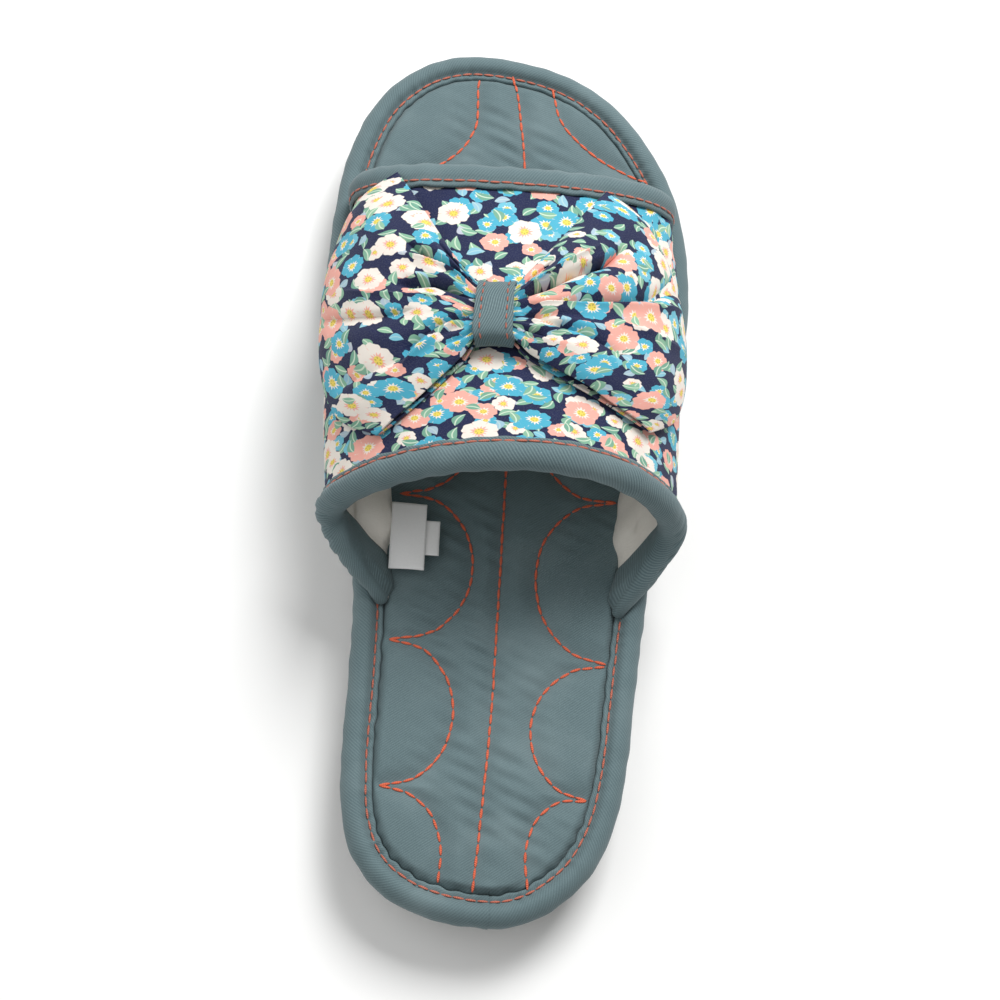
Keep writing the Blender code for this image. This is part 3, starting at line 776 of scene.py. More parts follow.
def makeMidsole():
    look = midsoleLook
    bottom, tall = slipper["midsoleBottom"], slipper["midsoleTop"] - slipper["midsoleBottom"]
    sides = look["sides"]
    rows = [(0.004, 1.0, bottom), (0.004, 0.0, bottom)]
    rows += [(inset, 0.0, bottom + tall * share) for inset, share in sides]
    rows += [(0.005, 0.0, bottom + tall), (0.005, 1.0, bottom + tall)]
    shares = np.array([0.0, 0.0] + [share for _, share in sides] + [1.0, 1.0])

    def shape(u, row, edge):
        share = shares[row]
        normal = edgeRead(edgeNormals, u)
        full = np.sin(math.pi * np.clip(share, 0, 1)) ** 0.7
        out = look["bulge"] * full * normal[:, 0] ** 2
        wave = wobble(edgeWay(u), 11, 9, 0.6, 2.6)
        cross = wobble(edgeWay(u) + share * 2.2, 12, 6, 1.0, 3.4)
        out += look["pucker"] * full * (0.7 * wave + 0.5 * cross)
        edge[:, :2] += normal * out[:, None]
        return edge

    piece = bedPiece("midsole_wall", rows, look, shape)
    give(piece, wallCloth)
    ride(piece, "wrap_cloth", "midsole")


feltLook = {"inset": 0.0010, "soft": 0.00035, "deep": 0.006, "fuzz": 0.00012, "tuck": 0.0020, "steps": 720}


def makeFelt():
    look = feltLook
    low, high = slipper["feltBottom"], slipper["feltTop"]
    inset, soft, deep = look["inset"], look["soft"], look["deep"]
    rows = [(deep, 1.0, low), (deep, 0.0, low), (inset + soft, 0.0, low), (inset, 0.0, low + soft),
            (inset, 0.0, high - soft), (inset + soft, 0.0, high), (deep, 0.0, high), (deep, 1.0, high)]

    def shape(u, row, edge):
        fuzz = wobble(edgeWay(u), 31, 8, 1.2, 6.0) * look["fuzz"] * (np.abs(row - 3.5) < 1.6)
        edge[:, :2] += edgeRead(edgeNormals, u) * fuzz[:, None]
        return edge

    piece = bedPiece("felt_line", rows, look, shape)
    give(piece, feltCloth)
    ride(piece, "felt", "felt_edge")


# ---- quilted insole
quiltLook = {
    "top": 0.0068, "sink": 0.0010, "crown": 0.0012, "crownEdge": 0.0084, "puff": 0.0017, "seam": 0.0030,
    "steps": 760, "ways": 52, "edge": 0.0073,
    "pitch": 0.0032, "share": 1.04, "thick": 0.00084, "proud": 0.00014,
}
# quilting lines in millimetres from the heel's middle: one line down the centre, arcs from the sides
centreLine = [(-1.6, 250.9), (-0.6, 247), (0.9, 238), (3.0, 219), (2.6, 190), (1.8, 160), (1.2, 125),
              (0.5, 90), (-0.3, 54), (-1.9, 26), (-3.2, 7.6)]
outerArcs = [
    [(36.0, 160), (27.0, 162), (17.0, 156), (10.5, 145), (9.0, 137), (13.5, 126), (22.0, 119),
     (32.4, 118)],
    [(32.4, 118), (22.0, 115.5), (13.5, 107), (10.5, 95), (13.0, 83), (20.0, 74.5), (31.9, 71)],
    [(31.9, 71), (21.0, 68.5), (13.0, 61), (10.5, 51), (13.0, 42), (18.5, 36), (26.3, 33.6)],
    [(26.3, 33.6), (18.5, 32.5), (12.9, 27.5), (10.6, 20.5), (11.2, 9.0)],
]
innerArcs = [
    [(-31.5, 160), (-22.5, 161), (-13.5, 155), (-8.0, 146), (-7.0, 137), (-10.0, 127), (-17.8, 119.5),
     (-28.0, 117)],
    [(-28.0, 117), (-17.7, 115), (-9.5, 107), (-7.0, 96), (-9.6, 85.5), (-17.3, 77.5), (-28.7, 75)],
    [(-28.7, 75), (-19.4, 72.5), (-12.8, 65), (-10.5, 55), (-12.8, 45), (-19.4, 37.5), (-29.2, 34.8)],
    [(-29.2, 34.8), (-21.6, 33.0), (-15.0, 27.5), (-12.2, 20.0), (-12.4, 9.6)],
]
toeArcs = [
    [(-11.1, 249.4), (-11.6, 247.0), (-11.6, 240.0), (-11.9, 233.0), (-14.6, 226.7), (-21.4, 219.8),
     (-29.0, 216.0)],
    [(10.4, 247.7), (11.0, 244.7), (13.0, 237.1), (17.8, 230.9), (26.2, 224.3), (37.0, 219.5),
     (43.0, 218.0)],
]


def rounded(points, count=60):
    # a smooth curve through a few points
    points = np.array(points, float)
    run = runOf(np.hypot(*np.diff(points, axis=0).T))
    at = np.linspace(0, run[-1], count)
    return np.column_stack([smoothTable(run, points[:, k], at) for k in (0, 1)])


quiltLines = [rounded(line) / 1000 for line in [centreLine] + outerArcs + innerArcs + toeArcs]


def nearLine(points, line):
    # distance of many points from one polyline
    best = np.full(len(points), 1e9)
    for a, b in zip(line[:-1], line[1:]):
        d = b - a
        t = np.clip(((points - a) @ d) / max(d @ d, 1e-12), 0, 1)
        best = np.minimum(best, np.hypot(*(points - a - t[:, None] * d).T))
    return best


def quiltHeight(points):
    # puffs between the seams, with short creases that run into each seam
    look = quiltLook
    away = np.full(len(points), 1e9)
    for line in quiltLines:
        away = np.minimum(away, nearLine(points, line))
    puff = look["puff"] * (1 - np.exp(-(away / look["seam"]) ** 1.5))
    x, y = points[:, 0] * 1000, points[:, 1] * 1000
    crease = wobble(y + 0.35 * x, 5, 8, 0.5, 1.5) * wobble(x * 0.4 + y * 0.12, 6, 5, 0.3, 0.9)
    puff += 0.00034 * crease * np.exp(-((away - 0.004) / 0.006) ** 2)
    puff += 0.00030 * wobble(x * 0.10 + y * 0.05, 7, 5, 0.5, 1.4) * np.clip(away / 0.012, 0, 1)
    return puff


def bedHeight(points):
    # top of the insole over the floor at any place of the footbed
    look = quiltLook
    y = points[:, 1]
    outer, inner = [sideAt(look["crownEdge"], y, side) for side in (True, False)]
    half, middle = (outer - inner) / 2, (outer + inner) / 2
    side = np.clip(np.abs(points[:, 0] - middle) / np.maximum(half, 0.004), 0, 1)
    crown = look["crown"] * (1 - side ** 2)
    return slipper["bed"] + look["top"] - look["sink"] + crown + toeLift(y) + quiltHeight(points)


def makeInsole():
    look = quiltLook
    edge = look["edge"]
    low = slipper["bed"]
    rise = look["top"] - look["sink"]
    sides = [(0.0, 0.0), (0.0, 0.4), (0.0, 0.66), (0.0001, 0.80), (0.0003, 0.90), (0.0006, 0.97)]
    rows = [(edge, 1.0, low), (edge, 0.5, low)]
    rows += [(edge + inset, 0.0, low + rise * share) for inset, share in sides]
    first = len(rows)
    inner = np.linspace(0, 1, look["ways"]) ** 1.1
    rows += [(edge + 0.0009, way, low + rise) for way in inner]
    insets, ways, heights = [np.array([row[k] for row in rows]) for k in range(3)]

    def place(u, v):
        row = rowOf(v, len(rows) - 1)
        spot = onEdge(u, insets[row] + seamWave(u) * (row < first + 3), heights[row])
        way = ways[row][:, None]
        spot[:, :2] = spot[:, :2] * (1 - way) + spineOf(u) * way
        lifted = row >= first
        border = np.clip(nearEdge(spot[:, :2], edge) / 0.0022, 0, 1)
        full = bedHeight(spot[:, :2])
        base = heights[row] + toeLift(spot[:, 1])
        spot[:, 2] = np.where(lifted, base + (full - base) * ease(border) ** 0.8, base)
        return spot

    def lay(u, v):
        return np.column_stack([u, v])

    piece = gridPiece("quilted_insole", look["steps"], len(rows) - 1, place, lay)
    give(piece, twillFootbed)
    ride(piece, "twill", "insole")


def nearEdge(points, inset):
    # distance inwards from the footbed's edge, at an inset
    loop = onEdge(np.linspace(0, 1, 361), inset, 0.0)[:, :2]
    return nearLine(points, loop)


def seamWave(u):
    # the seam between binding and insole isn't quite even, least of all around the heel
    heel = 0.6 + 0.9 * np.exp(-(np.minimum(u, 1 - u) / 0.12) ** 2)
    return 0.00018 * heel * wobble(edgeWay(u), 24, 8, 0.4, 1.3)


# ---- sole binding: a rolled tape around the footbed, profile as (inset, height over the bed)
bindingLook = {
    "steps": 960, "rows": 34,
    "profile": [
        (0.0016, 0.0000), (0.0003, 0.0004), (-0.0006, 0.0014), (-0.0010, 0.0029), (-0.0008, 0.0046),
        (0.0000, 0.0061), (0.0012, 0.0072), (0.0026, 0.0077), (0.0038, 0.0075), (0.0047, 0.0067),
        (0.0053, 0.0058), (0.0057, 0.0055), (0.0061, 0.0057), (0.0065, 0.0062), (0.0069, 0.0063),
        (0.0072, 0.0060), (0.0074, 0.0052), (0.0074, 0.0030), (0.0074, 0.0000),
    ],
    "pitch": 0.0032, "share": 0.98, "thick": 0.00066, "proud": 0.00014,
    "seamInset": 0.0057, "seamHeight": 0.0057,
    "dent": 0.00022,
}


def makeSoleBinding():
    look = bindingLook
    insets, heights, girth = profileOf(look["profile"], look["rows"])

    def place(u, v):
        row = rowOf(v, look["rows"])
        inset, height = insets[row], heights[row]
        where = edgeWay(u)
        upper = ease((height - 0.003) / 0.003)
        seam = np.exp(-((inset - look["seamInset"]) / 0.0016) ** 2) * upper
        wave = wobble(where, 21, 8, 0.35, 1.1)
        short = wobble(where, 22, 8, 0.9, 2.1)
        height = height + look["dent"] * upper * (0.6 * wave + 0.8 * short * seam)
        height = height - 0.00022 * seam * (0.5 + 0.5 * np.cos(2 * math.pi * u * edgeRun / look["pitch"]))
        inset = inset - look["dent"] * 0.7 * wave * (1 - upper) * (inset < 0.004)
        inset = inset + seamWave(u) * ease((inset - 0.0050) / 0.0014)
        return onEdge(u, inset, slipper["bed"] + height)

    def lay(u, v):
        return np.column_stack([u * edgeRun, v * girth])

    piece = gridPiece("sole_binding_roll", look["steps"], look["rows"], place, lay)
    give(piece, twillBinding)
    ride(piece, "twill", "sole_binding")


def makeBindingStitches():
    look = bindingLook
    line = onEdge(np.linspace(0, 1, 1441), look["seamInset"], slipper["bed"] + look["seamHeight"])
    stitchPiece("binding_stitches", "twill", dullThread, look, [(line, upward, 3)])


def makeQuiltStitches():
    look = quiltLook
    rows = []
    for n, line in enumerate(quiltLines):
        line = rounded(line, 360)
        full = np.column_stack([line, bedHeight(line)])
        inside = nearEdge(line, look["edge"]) > 0.0007
        rows.append((full[inside] if inside.any() else full, upward, 40 + n))
    stitchPiece("quilt_stitches", "twill", coralThread, look, rows)


overlockLook = {
    "inset": 0.0004, "height": 0.0046, "tuck": 0.0040, "bulge": 0.0001, "rise": 0.15, "slant": 0.6,
    "pitch": 0.00175, "share": 1.25, "thick": 0.00046, "proud": 0.0,
}


def makeOverlock():
    look = overlockLook
    share = np.linspace(0, 1, 1441)
    line = onEdge(share, look["inset"], look["height"], look["tuck"], look["bulge"])
    normals = np.column_stack([edgeRead(edgeNormals, share), np.full(len(share), look["rise"])])
    ups = np.column_stack([np.interp(np.linspace(0, 1, 900), share, normals[:, k]) for k in range(3)])
    stitchPiece("overlock_stitches", "wrap_cloth", blackThread, look, [(line, ups, 9)])


# ---- vamp: padded floral cloth outside, pale lining inside
vampLook = {"steps": (260, 150), "footPadding": 0.0060, "footReach": 0.013, "footStarts": 0.0095,
            "footEnds": 0.045}


def vampRelief(around, along):
    # soft puckers that run in from the throat seam and the feet, and a puffed middle
    wide = vampWide(along) * 1000
    where = around * wide
    throat = np.exp(-((along - 0.05) / 0.10) ** 2)
    toe = np.exp(-((along - 0.95) / 0.07) ** 2)
    relief = 0.00055 * throat * wobble(where + along * 20, 61, 9, 0.25, 0.8)
    relief += 0.00030 * toe * wobble(where, 62, 9, 0.3, 0.9)
    feet = np.exp(-(np.minimum(around, 1 - around) * wide / 16) ** 2)
    relief += 0.00055 * feet * wobble(along * 110 + around * 9, 63, 8, 0.2, 0.7)
    relief += 0.00035 * wobble(where * 0.08 + along * 6, 64, 6, 0.5, 1.6)
    return relief


def vampStep(v):
    # rows of the vamp's mesh lie closer at its two edges
    return (v + (1 - np.cos(math.pi * v)) / 2) / 2


def makeVamp():
    look = vampLook

    def place(u, v):
        along = vampStep(v)
        spot = onVamp(u, along, vampRelief(u, along) * ease(np.minimum(v, 1 - v) / 0.03))
        foot = (u <= 0.0) | (u >= 1.0)
        spot[foot, 2] = vampFoot + toeLift(spot[foot, 1])
        return spot

    def lay(u, v):
        along = vampStep(v)
        return np.column_stack([(u - 0.5) * vampWide(along), along * 0.118])

    piece = gridPiece("floral_vamp", look["steps"][0], look["steps"][1], place, lay, False)
    give(piece, floralCloth, lining)
    # the padding is thickest beside the throat's feet, where it bulges in over the insole
    thickest = look["footPadding"]
    made = wall(piece, thickest, -1.0, 1)
    made.vertex_group = piece.vertex_groups.new(name="padding").name
    co = np.zeros(len(piece.data.vertices) * 3)
    piece.data.vertices.foreach_get("co", co)
    y, z = co.reshape(-1, 3)[:, 1], co.reshape(-1, 3)[:, 2]
    rise = z - vampFoot
    throat = shiftHome[1] + slipper["length"] * (
        slipper["vampBack"] + vampRows[0][5] * (1 - np.exp(-(rise / slipper["flareHeight"]) ** 2)))
    bulge = np.exp(-(rise / look["footReach"]) ** 2)
    bulge *= ease((y - throat - look["footStarts"]) / 0.012) * ease((look["footEnds"] - y) / 0.03)
    plain = slipper["vampWall"] / thickest
    weights = np.round(plain + (1 - plain) * bulge, 2)
    for weight in np.unique(weights):
        chosen = np.flatnonzero(weights == weight).tolist()
        piece.vertex_groups["padding"].add(chosen, float(weight), "REPLACE")
    ride(piece, "floral_cloth", "vamp")


# ---- throat roll and toe strip: profiles of (ahead, lift) along an edge of the vamp
rollLook = {
    "steps": 520, "rows": 44, "tight": 0.50, "open": 0.017, "foot": 0.0012,
    "cover": 0.0105, "coverFrom": 0.034, "tape": 0.028,
    "profile": [
        (0.0052, 0.0002), (0.0051, 0.0009), (0.0046, 0.0012), (0.0040, 0.0011), (0.0035, 0.0008),
        (0.0030, 0.0010), (0.0024, 0.0020), (0.0012, 0.0029), (-0.0003, 0.0032), (-0.0018, 0.0027),
        (-0.0031, 0.0014), (-0.0037, -0.0009), (-0.0032, -0.0031), (-0.0019, -0.0044),
        (-0.0002, -0.0048), (0.0016, -0.0047), (0.0034, -0.0039), (0.0048, -0.0032), (0.0051, -0.0026),
    ],
    "seamAhead": 0.0035, "seamLift": 0.0010, "seamEnds": 0.03,
    "thread": {"pitch": 0.0032, "share": 0.98, "thick": 0.00068, "proud": 0.0001},
}


def makeThroatRoll():
    look = rollLook
    aheads, lifts, _ = profileOf(look["profile"], look["rows"])
    middle = -slipper["vampWall"] / 2
    low, high = look["foot"], 1 - look["foot"]
    total = float(vampWide(0.0))

    def place(u, v):
        row = rowOf(v, look["rows"])
        end = np.clip(np.minimum(u, 1 - u) * look["steps"], 0, 2)          # two closing rows at each end
        around = low + (high - low) * np.clip(u, 0.0, 1.0)
        fromFoot = np.minimum(around - low, high - around) * total
        full = look["tight"] + (1 - look["tight"]) * ease(fromFoot / look["open"])
        where = around * total * 1000
        dents = 1 + 0.05 * wobble(where, 71, 8, 0.25, 0.8)
        corner = np.exp(-((fromFoot - 0.020) / 0.014) ** 2)
        slant = wobble(where + aheads[row] * 900, 72, 6, 0.7, 1.7)
        dents -= 0.16 * corner * np.clip(slant, 0, 1) * (lifts[row] > 0)
        ahead = aheads[row] * full * dents
        lift = middle + (lifts[row] - middle) * full * dents
        inside = (lifts[row] < -0.0024) & (aheads[row] > 0.0010)
        cover = look["cover"] * np.clip(1 - fromFoot / look["coverFrom"], 0, 1)
        ahead = np.where(inside, ahead + cover * aheads[row] / 0.0051, ahead)
        lift = np.where(inside, np.minimum(lift, lifts[row] * 0.96), lift)
        groove = np.exp(-((aheads[row] - look["seamAhead"]) / 0.0012) ** 2) * (lifts[row] > 0)
        lift = lift + groove * 0.00025 * wobble(where, 73, 8, 0.8, 2.0)
        shrink = np.where(end < 0.5, 0.0, np.where(end < 1.5, 0.85, 1.0))
        ahead, lift = ahead * shrink, middle + (lift - middle) * shrink
        return onVamp(around, np.zeros_like(around), lift, ahead)

    def lay(u, v):
        return np.column_stack([u * total, v * look["tape"]])

    piece = gridPiece("throat_roll", look["steps"], look["rows"], place, lay)
    give(piece, twillRoll)
    ride(piece, "twill", "throat_binding")
    vampSeam("throat_stitches", 0.0, low + look["seamEnds"], high - look["seamEnds"],
             look["seamLift"], look["seamAhead"], look["thread"], 75)


stripLook = {
    "width": 0.0076, "thick": 0.0009, "clear": 0.00045, "cloth": 0.0004, "steps": 360, "rows": 24,
    "foot": 0.004, "ripple": 0.00012, "seamIn": 0.0019, "seamSink": 0.0001, "seamEnds": 0.01,
    "thread": {"pitch": 0.0032, "share": 0.98, "thick": 0.00068, "proud": 0.0001},
}


def makeToeStrip():
    look = stripLook
    width, thick = look["width"], look["thick"]
    inner = -slipper["vampWall"] - look["clear"]
    outer = look["clear"] + thick
    fold = look["clear"] + thick * 1.2
    # from the stitched outer edge over the fold to the edge inside the vamp
    profile = [(-width, 0.0004), (-width + 0.0007, outer - 0.0001), (-0.0057, outer - 0.0004),
               (-0.0044, outer + 0.0005), (-0.0020, outer + 0.0011), (fold * 0.7, outer * 0.7),
               (fold, inner / 2), (fold * 0.7, inner - thick * 0.5), (-0.001, inner - thick),
               (-width + 0.0008, inner - thick), (-width, inner)]
    aheads, lifts, run = profileOf(profile, look["rows"], False)
    low, high = look["foot"], 1 - look["foot"]
    total = float(vampWide(1.0))

    def place(u, v):
        row = rowOf(v, look["rows"])
        around = low + (high - low) * u
        ripple = wobble(around * total * 1000, 81, 8, 0.3, 1.0) * look["ripple"]
        lift = lifts[row] + ripple * (lifts[row] > 0)
        return onVamp(around, np.ones_like(around), lift, aheads[row] + ripple)

    def lay(u, v):
        return np.column_stack([u * total, v * run])

    piece = gridPiece("toe_strip", look["steps"], look["rows"], place, lay, False)
    wall(piece, look["cloth"])
    give(piece, twillStrip)
    ride(piece, "twill", "toe_binding")
    vampSeam("toe_strip_stitches", 1.0, low + look["seamEnds"], high - look["seamEnds"],
             outer - look["seamSink"], -width + look["seamIn"], look["thread"], 85)


# ---- bow
bowLook = {
    "along": 0.463, "around": 0.471, "knotWidth": 0.0094, "knotLength": 0.0180, "knotHeight": 0.0068,
    "under": 0.0016, "cloth": 0.0007, "rest": 0.0006, "step": 0.0012, "endPuff": 0.0030,
    "steps": 130, "rows": 250, "leaves": 0.16, "edgeLift": 0.0028, "deeper": 1.4,
    "crest": (0.0070, 0.0080, 0.0080, 0.0068, 0.0052, 0.0036),
    "reachLeft": 0.058, "reachRight": 0.066, "knotSpread": 0.057, "endSpread": 0.095, "flatSpread": 0.072,
}
# outer end of each wing: way across it from toe side to heel side, around, along
leftEnd = [(0.00, 0.235, 0.965), (0.12, 0.165, 0.900), (0.26, 0.115, 0.810), (0.40, 0.095, 0.690),
           (0.55, 0.110, 0.560), (0.70, 0.150, 0.390), (0.86, 0.220, 0.210), (1.00, 0.300, 0.110)]
rightEnd = [(0.00, 0.690, 0.935), (0.14, 0.765, 0.870), (0.30, 0.815, 0.780), (0.44, 0.850, 0.670),
            (0.55, 0.865, 0.560), (0.68, 0.850, 0.430), (0.85, 0.790, 0.270), (1.00, 0.715, 0.170)]
# folds of each wing: depth in millimetres (a ridge below 0), its width to the heel side and to the toe
# side, how far the cloth hangs over it, where it starts and ends, and its line as (t, s)
leftFolds = [
    (1.6, 1.2, 0.8, 0.0, -0.1, 0.45, [(0.0, 0.035), (0.5, 0.045)]),
    (3.6, 2.4, 0.7, 0.5, -0.1, 0.50, [(0.0, 0.07), (0.05, 0.08), (0.2, 0.10), (0.35, 0.14), (0.5, 0.17)]),
    (-1.5, 1.8, 0.9, 0.0, -0.1, 0.48, [(0.0, 0.15), (0.1, 0.145), (0.22, 0.17), (0.3, 0.20),
     (0.45, 0.24)]),
    (3.4, 2.0, 1.2, 0.0, -0.1, 0.44, [(0.0, 0.33), (0.15, 0.32), (0.22, 0.32), (0.3, 0.37),
     (0.45, 0.43)]),
    (-0.9, 3.0, 1.0, 0.0, 0.10, 0.75, [(0.0, 0.46), (0.3, 0.49), (0.6, 0.47), (0.8, 0.44)]),
    (1.3, 3.2, 0.6, 0.4, 0.26, 0.95, [(0.2, 0.58), (0.32, 0.58), (0.47, 0.585), (0.62, 0.57),
     (0.85, 0.55)]),
    (4.4, 0.7, 2.2, -0.8, -0.1, 0.46, [(0.0, 0.55), (0.05, 0.63), (0.17, 0.72), (0.27, 0.75),
     (0.43, 0.82), (0.6, 0.83)]),
    (1.6, 1.2, 3.0, -0.3, 0.30, 0.95, [(0.2, 0.73), (0.27, 0.75), (0.43, 0.82), (0.65, 0.80),
     (0.9, 0.78)]),
    (-1.2, 1.2, 1.2, 0.0, -0.1, 0.55, [(0.0, 0.66), (0.05, 0.70), (0.17, 0.785), (0.27, 0.82),
     (0.5, 0.88)]),
    (1.8, 1.0, 1.0, 0.0, -0.1, 0.22, [(0.0, 0.85), (0.3, 0.90)]),
]
rightFolds = [
    (2.0, 1.4, 0.8, 0.0, -0.1, 0.35, [(0.0, 0.10), (0.4, 0.13)]),
    (4.4, 2.8, 0.8, 0.8, -0.1, 0.72, [(0.0, 0.30), (0.13, 0.27), (0.35, 0.25), (0.5, 0.25),
     (0.75, 0.21)]),
    (-1.3, 1.2, 1.6, 0.0, -0.1, 0.60, [(0.0, 0.24), (0.13, 0.215), (0.35, 0.19), (0.65, 0.17)]),
    (4.8, 0.7, 3.4, -0.6, 0.0, 1.20, [(0.0, 0.49), (0.22, 0.51), (0.47, 0.485), (0.63, 0.465),
     (0.95, 0.42)]),
    (-1.5, 2.4, 0.8, 0.0, 0.0, 1.00, [(0.0, 0.53), (0.22, 0.545), (0.47, 0.52), (0.62, 0.50),
     (0.87, 0.475)]),
    (2.6, 1.0, 2.2, -0.4, -0.1, 0.58, [(0.0, 0.55), (0.12, 0.66), (0.22, 0.72), (0.4, 0.75),
     (0.6, 0.78)]),
    (2.2, 1.0, 1.2, 0.0, -0.1, 0.25, [(0.0, 0.80), (0.3, 0.86)]),
    (-0.9, 2.4, 2.0, 0.0, 0.35, 1.00, [(0.2, 0.64), (0.5, 0.62), (0.9, 0.62)]),
]


def foldRelief(folds, t, s, wide):
    # summed height of the folds, and how far the cloth beside them is pushed across
    height, push = np.zeros_like(t), np.zeros_like(t)
    for depth, heelWide, toeWide, hang, start, stop, line in folds:
        at = np.interp(t, [p[0] for p in line], [p[1] for p in line])
        away = (s - at) * wide * 1000
        there = ease((t - start) / 0.14) * ease((stop - t) / 0.18)
        shape = np.exp(-(np.abs(away) / np.where(away > 0, heelWide, toeWide)) ** 1.25)
        height -= depth * bowLook["deeper"] / 1000 * shape * there
        push += hang / 1000 * np.exp(-(np.abs(away) / 2.0) ** 2) * np.where(away * hang < 0, 1.0, 0.1) * there
    return height, push


def wingPiece(name, side, ends, folds, finish, node, seed):
    look = bowLook
    wide = float(vampWide(look["along"]))
    centre = np.array([look["around"]])
    tall = float(np.linalg.norm(vampRead(vampAhead, centre, np.array([look["along"]]))))
    leave = look["around"] + side * (look["knotWidth"] / 2 - 0.0010) / wide
    keys = [row[0] for row in ends]
    reach = look["reachLeft"] if side < 0 else look["reachRight"]

    def layer(u):
        # the first half of u is the upper layer, going out; the second comes back below it
        turn = 2 * u - 1
        t = 1 - np.abs(turn) ** 1.6
        return turn < 0, t, look["knotSpread"] + (look["endSpread"] - look["knotSpread"]) * t

    def place(u, v):
        upper, t, spread = layer(u)
        relief, push = foldRelief(folds, t, v, spread)
        s = np.clip(v + push / spread * upper * ease((1 - t) / 0.15), 0, 1)
        endAround = smoothTable(keys, [row[1] for row in ends], s)
        endAlong = smoothTable(keys, [row[2] for row in ends], s)
        knotAlong = look["along"] + (0.5 - s) * (look["knotLength"] - 0.0028) / tall
        notch = 0.035 * relief / 0.004 * ease((t - 0.7) / 0.3)
        around = leave + (endAround - leave) * (t + notch)
        along = knotAlong + (endAlong - knotAlong) * t + 0.10 * t * (1 - t) * (1 - 2 * s)
        clear = look["rest"] + look["step"] * ease((endAlong - 0.8) / 0.12)
        edge = np.minimum(v, 1 - v) * spread
        envelope = np.interp(t, [0, 0.12, 0.3, 0.6, 0.85, 1.0], look["crest"])
        full = look["edgeLift"] + (envelope - look["edgeLift"]) * (1 - np.exp(-edge / 0.0055))
        radial = 0.0007 * wobble(v * 70 + 3 * t, seed, 9, 0.5, 1.4) * ease((0.55 - t) / 0.5)
        fine = 0.00035 * wobble(v * 40 + t * 7, seed + 20, 8, 0.4, 1.3)
        fine = fine + 0.0003 * wobble(t * 16 - v * 12, seed + 40, 6, 0.5, 1.3)
        fold = np.sqrt(np.clip(1 - t ** 4.0, 0, 1))
        bottom = clear + look["endPuff"] * 0.5 * (1 - fold)
        top = clear + look["endPuff"] * 0.5 + (full - look["endPuff"] * 0.5 + relief + radial + fine) * fold
        top = np.maximum(top, bottom + 0.0009 * fold + 0.15 * (relief + 0.004) * fold)
        bundle = look["knotHeight"] / 2 * (1 - np.abs(0.94 * (2 * v - 1)) ** 3.5) ** (1 / 3.5) - 0.0006
        middle = look["under"] + look["knotHeight"] / 2
        pleat = 0.78 + 0.22 * np.cos(2 * math.pi * v * 5 + 0.6)
        out = ease(t / look["leaves"])
        knot = np.where(upper, middle + bundle * pleat, middle - bundle)
        lift = knot * (1 - out) + np.where(upper, top, bottom) * out
        return onVamp(around, along, lift)

    def lay(u, v):
        upper, t, spread = layer(u)
        return np.column_stack([np.where(upper, t, 2 - t) * reach, (v - 0.5) * spread])

    piece = gridPiece(name, look["steps"], look["rows"], place, lay, False, (0.25, 0.5))
    wall(piece, look["cloth"])
    give(piece, finish)
    ride(piece, "floral_cloth", node)


def makeBow():
    wingPiece("bow_wing_left", -1, leftEnd, leftFolds, floralLeft, "bow_left", 91)
    wingPiece("bow_wing_right", 1, rightEnd, rightFolds, floralRight, "bow_right", 92)


bandLook = {
    "steps": 26, "rows": 64, "box": 2 / 3.2, "clear": 0.0003, "over": 0.0012, "wall": 0.0009,
    "narrow": 0.97, "pinch": 0.06, "slip": 0.0004, "dent": 0.00018, "lay": (0.012, 0.052),
    "flat": (0.0100, 0.0500), "seams": (0.17, 0.83), "seamReach": (0.04, 0.96),
    "thread": {"pitch": 0.0026, "share": 0.7, "thick": 0.00050, "proud": 0.00012},
}


def makeBand():
    look, bow = bandLook, bowLook
    centre = np.array([bow["around"]]), np.array([bow["along"]])
    wide = float(vampWide(bow["along"]))
    tall = float(np.linalg.norm(vampRead(vampAhead, *centre)))
    half = bow["knotLength"] / 2
    top = bow["under"] + bow["knotHeight"] + look["over"]

    def boxed(wave):
        return np.sign(wave) * np.abs(wave) ** look["box"]

    def place(u, v):
        angle = 2 * math.pi * v
        ahead = boxed(np.cos(angle)) * half
        level = 0.5 + 0.5 * boxed(np.sin(angle))
        pinch = 1 + look["pinch"] * (2 * u - 1) ** 2
        slip = look["slip"] * wobble(v * 9, 95, 4, 1.0, 3.0)
        around = bow["around"] + ((u - 0.5) * bow["knotWidth"] * look["narrow"] + slip) / wide
        lift = look["clear"] + (top - look["clear"]) * level
        lift = lift + look["dent"] * (level > 0.6) * wobble(u * 9 + v * 14, 96, 5, 0.6, 2.0)
        return onVamp(around, bow["along"] + ahead * pinch / tall, lift)

    piece = gridPiece("bow_knot_band", look["steps"], look["rows"], place, look["lay"])
    wall(piece, look["wall"])
    give(piece, twillRibbon)
    ride(piece, "twill", "bow_band")
    v = np.linspace(math.pi * look["seamReach"][0], math.pi * look["seamReach"][1], 80) / (2 * math.pi)
    ups = vampRead(vampNormals, np.full_like(v, bow["around"]), np.full_like(v, bow["along"]))
    rows = [(place(np.full_like(v, share), v), ups, 97 + n) for n, share in enumerate(look["seams"])]
    stitchPiece("band_stitches", "twill", dullThread, look["thread"], rows)


# ---- labels in the inner seam of the vamp, left blank
labelLook = {
    "around": 0.013, "along": 0.150, "wall": 0.0004, "leastFlat": 0.010,
    "out": 0.0028, "back": 0.0020, "slope": 0.20, "curl": 0.0005,
    "labels": [("care_label_large", "label_large", (0.0096, 0.0190), 0.0011),
               ("care_label_small", "label_small", (0.0134, 0.0100), 0.0)],
}


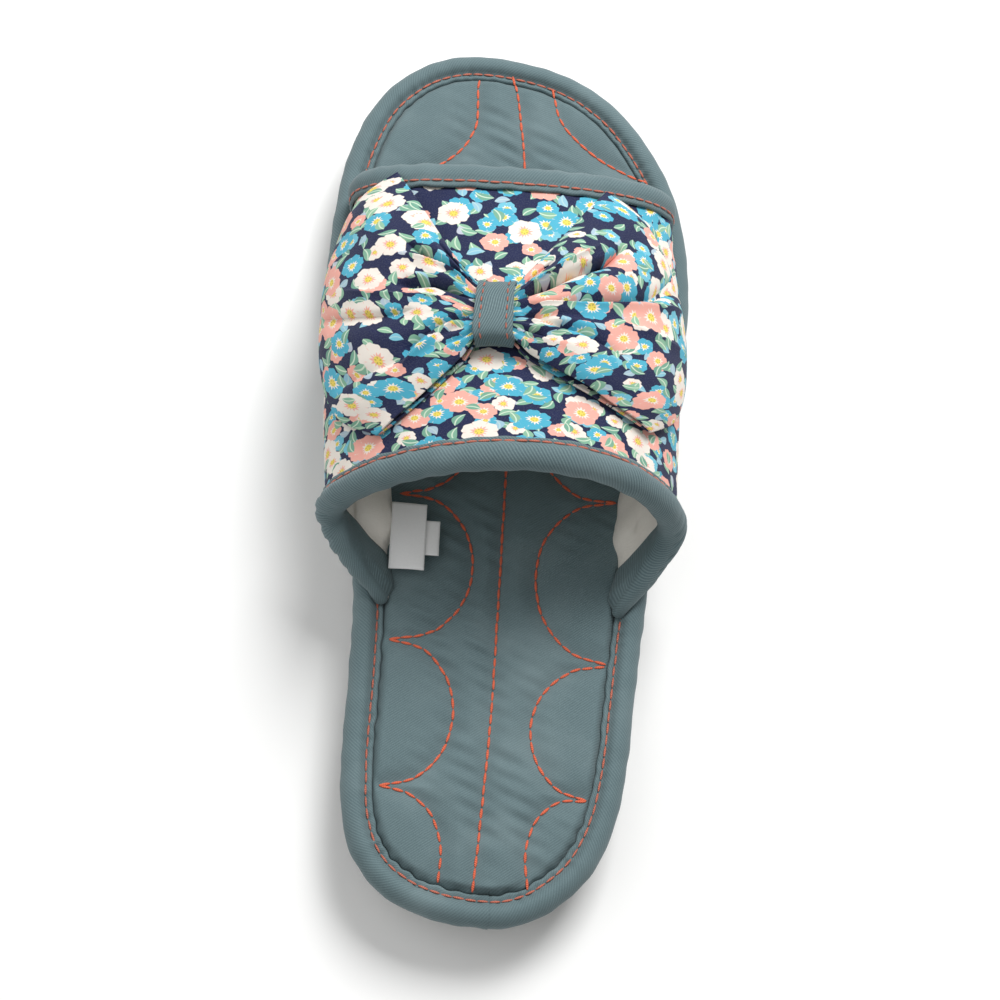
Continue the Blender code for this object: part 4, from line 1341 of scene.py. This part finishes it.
def makeLabels():
    look = labelLook
    foot = onVamp(look["around"], look["along"], -slipper["vampWall"] - slipper["gap"])[0]
    for name, node, size, lift in look["labels"]:
        def place(u, v, size=size, lift=lift):
            curl = look["curl"] * np.sin(u * 3.0 + v * 1.5)
            return np.column_stack([
                foot[0] + look["out"] + u * size[0],
                foot[1] - look["back"] + (v - 0.5) * size[1] - 0.0006 * u,
                foot[2] + lift + look["slope"] * u * size[0] + curl,
            ])
        piece = gridPiece(name, 16, 24, place, size, False)
        wall(piece, look["wall"], 0.0)
        give(piece, labelCloth)
        ride(piece, "label_tape", node)


makeOutsole()
makeMidsole()
makeFelt()
makeInsole()
makeSoleBinding()
print("slipper: sole made")
makeBindingStitches()
makeQuiltStitches()
makeOverlock()
print("slipper: stitches made")
makeVamp()
makeThroatRoll()
makeToeStrip()
print("slipper: vamp made")
makeBow()
makeBand()
makeLabels()
print("slipper: bow and labels made")


# ---- floor, light and camera
studio = {
    "camera": (-0.0352, -0.2096, 0.5798), "aim": (0.0, -0.015, 0.030), "lens": 77.0, "photoRight": 3.8,
    "floor": colour(244, 244, 243), "floorSize": 3.0, "sky": 0.36, "lampAim": (0, 0, 0.02),
    "lamps": [("key_light", (0.26, 0.56, 0.86), 0.50, 11.5), ("fill_light", (-0.75, 0.0, 0.95), 1.2, 4.5)],
}


def makeStudio():
    bm = bmesh.new()
    bmesh.ops.create_grid(bm, x_segments=1, y_segments=1, size=studio["floorSize"] / 2)
    floor = meshPiece("studio_floor", bm)
    ground = Finish("studio_floor", 0.95)
    give(floor, ground.finish(studio["floor"]))
    for name, place, size, power in studio["lamps"]:
        lamp = bpy.data.lights.new(name, "AREA")
        lamp.shape = "SQUARE"
        lamp.size = size
        lamp.energy = power
        holder = bpy.data.objects.new(name, lamp)
        holder.location = place
        aim = Vector(studio["lampAim"]) - Vector(place)
        holder.rotation_euler = aim.to_track_quat("-Z", "Y").to_euler()
        bpy.context.scene.collection.objects.link(holder)
    world = bpy.data.worlds.new("studio_sky")
    world.use_nodes = True
    world.node_tree.nodes["Background"].inputs[0].default_value = (1.0, 1.0, 1.0, 1.0)
    world.node_tree.nodes["Background"].inputs[1].default_value = studio["sky"]
    bpy.context.scene.world = world
    bpy.context.scene.view_settings.view_transform = "Standard"
    eye = Vector(studio["camera"])
    back = (eye - Vector(studio["aim"])).normalized()
    turn = math.radians(studio["photoRight"])
    right = Vector((math.cos(turn), math.sin(turn), 0.0))
    right = (right - back * right.dot(back)).normalized()
    up = back.cross(right)
    camera = bpy.data.objects.new("camera", bpy.data.cameras.new("camera"))
    pose = Matrix((right, up, back)).transposed().to_4x4()
    pose.translation = eye
    camera.matrix_world = pose
    camera.data.lens = studio["lens"]
    camera.data.sensor_width = 36.0
    bpy.context.scene.collection.objects.link(camera)
    bpy.context.scene.camera = camera


makeStudio()
print("slipper: studio made")
bpy.context.view_layer.update()
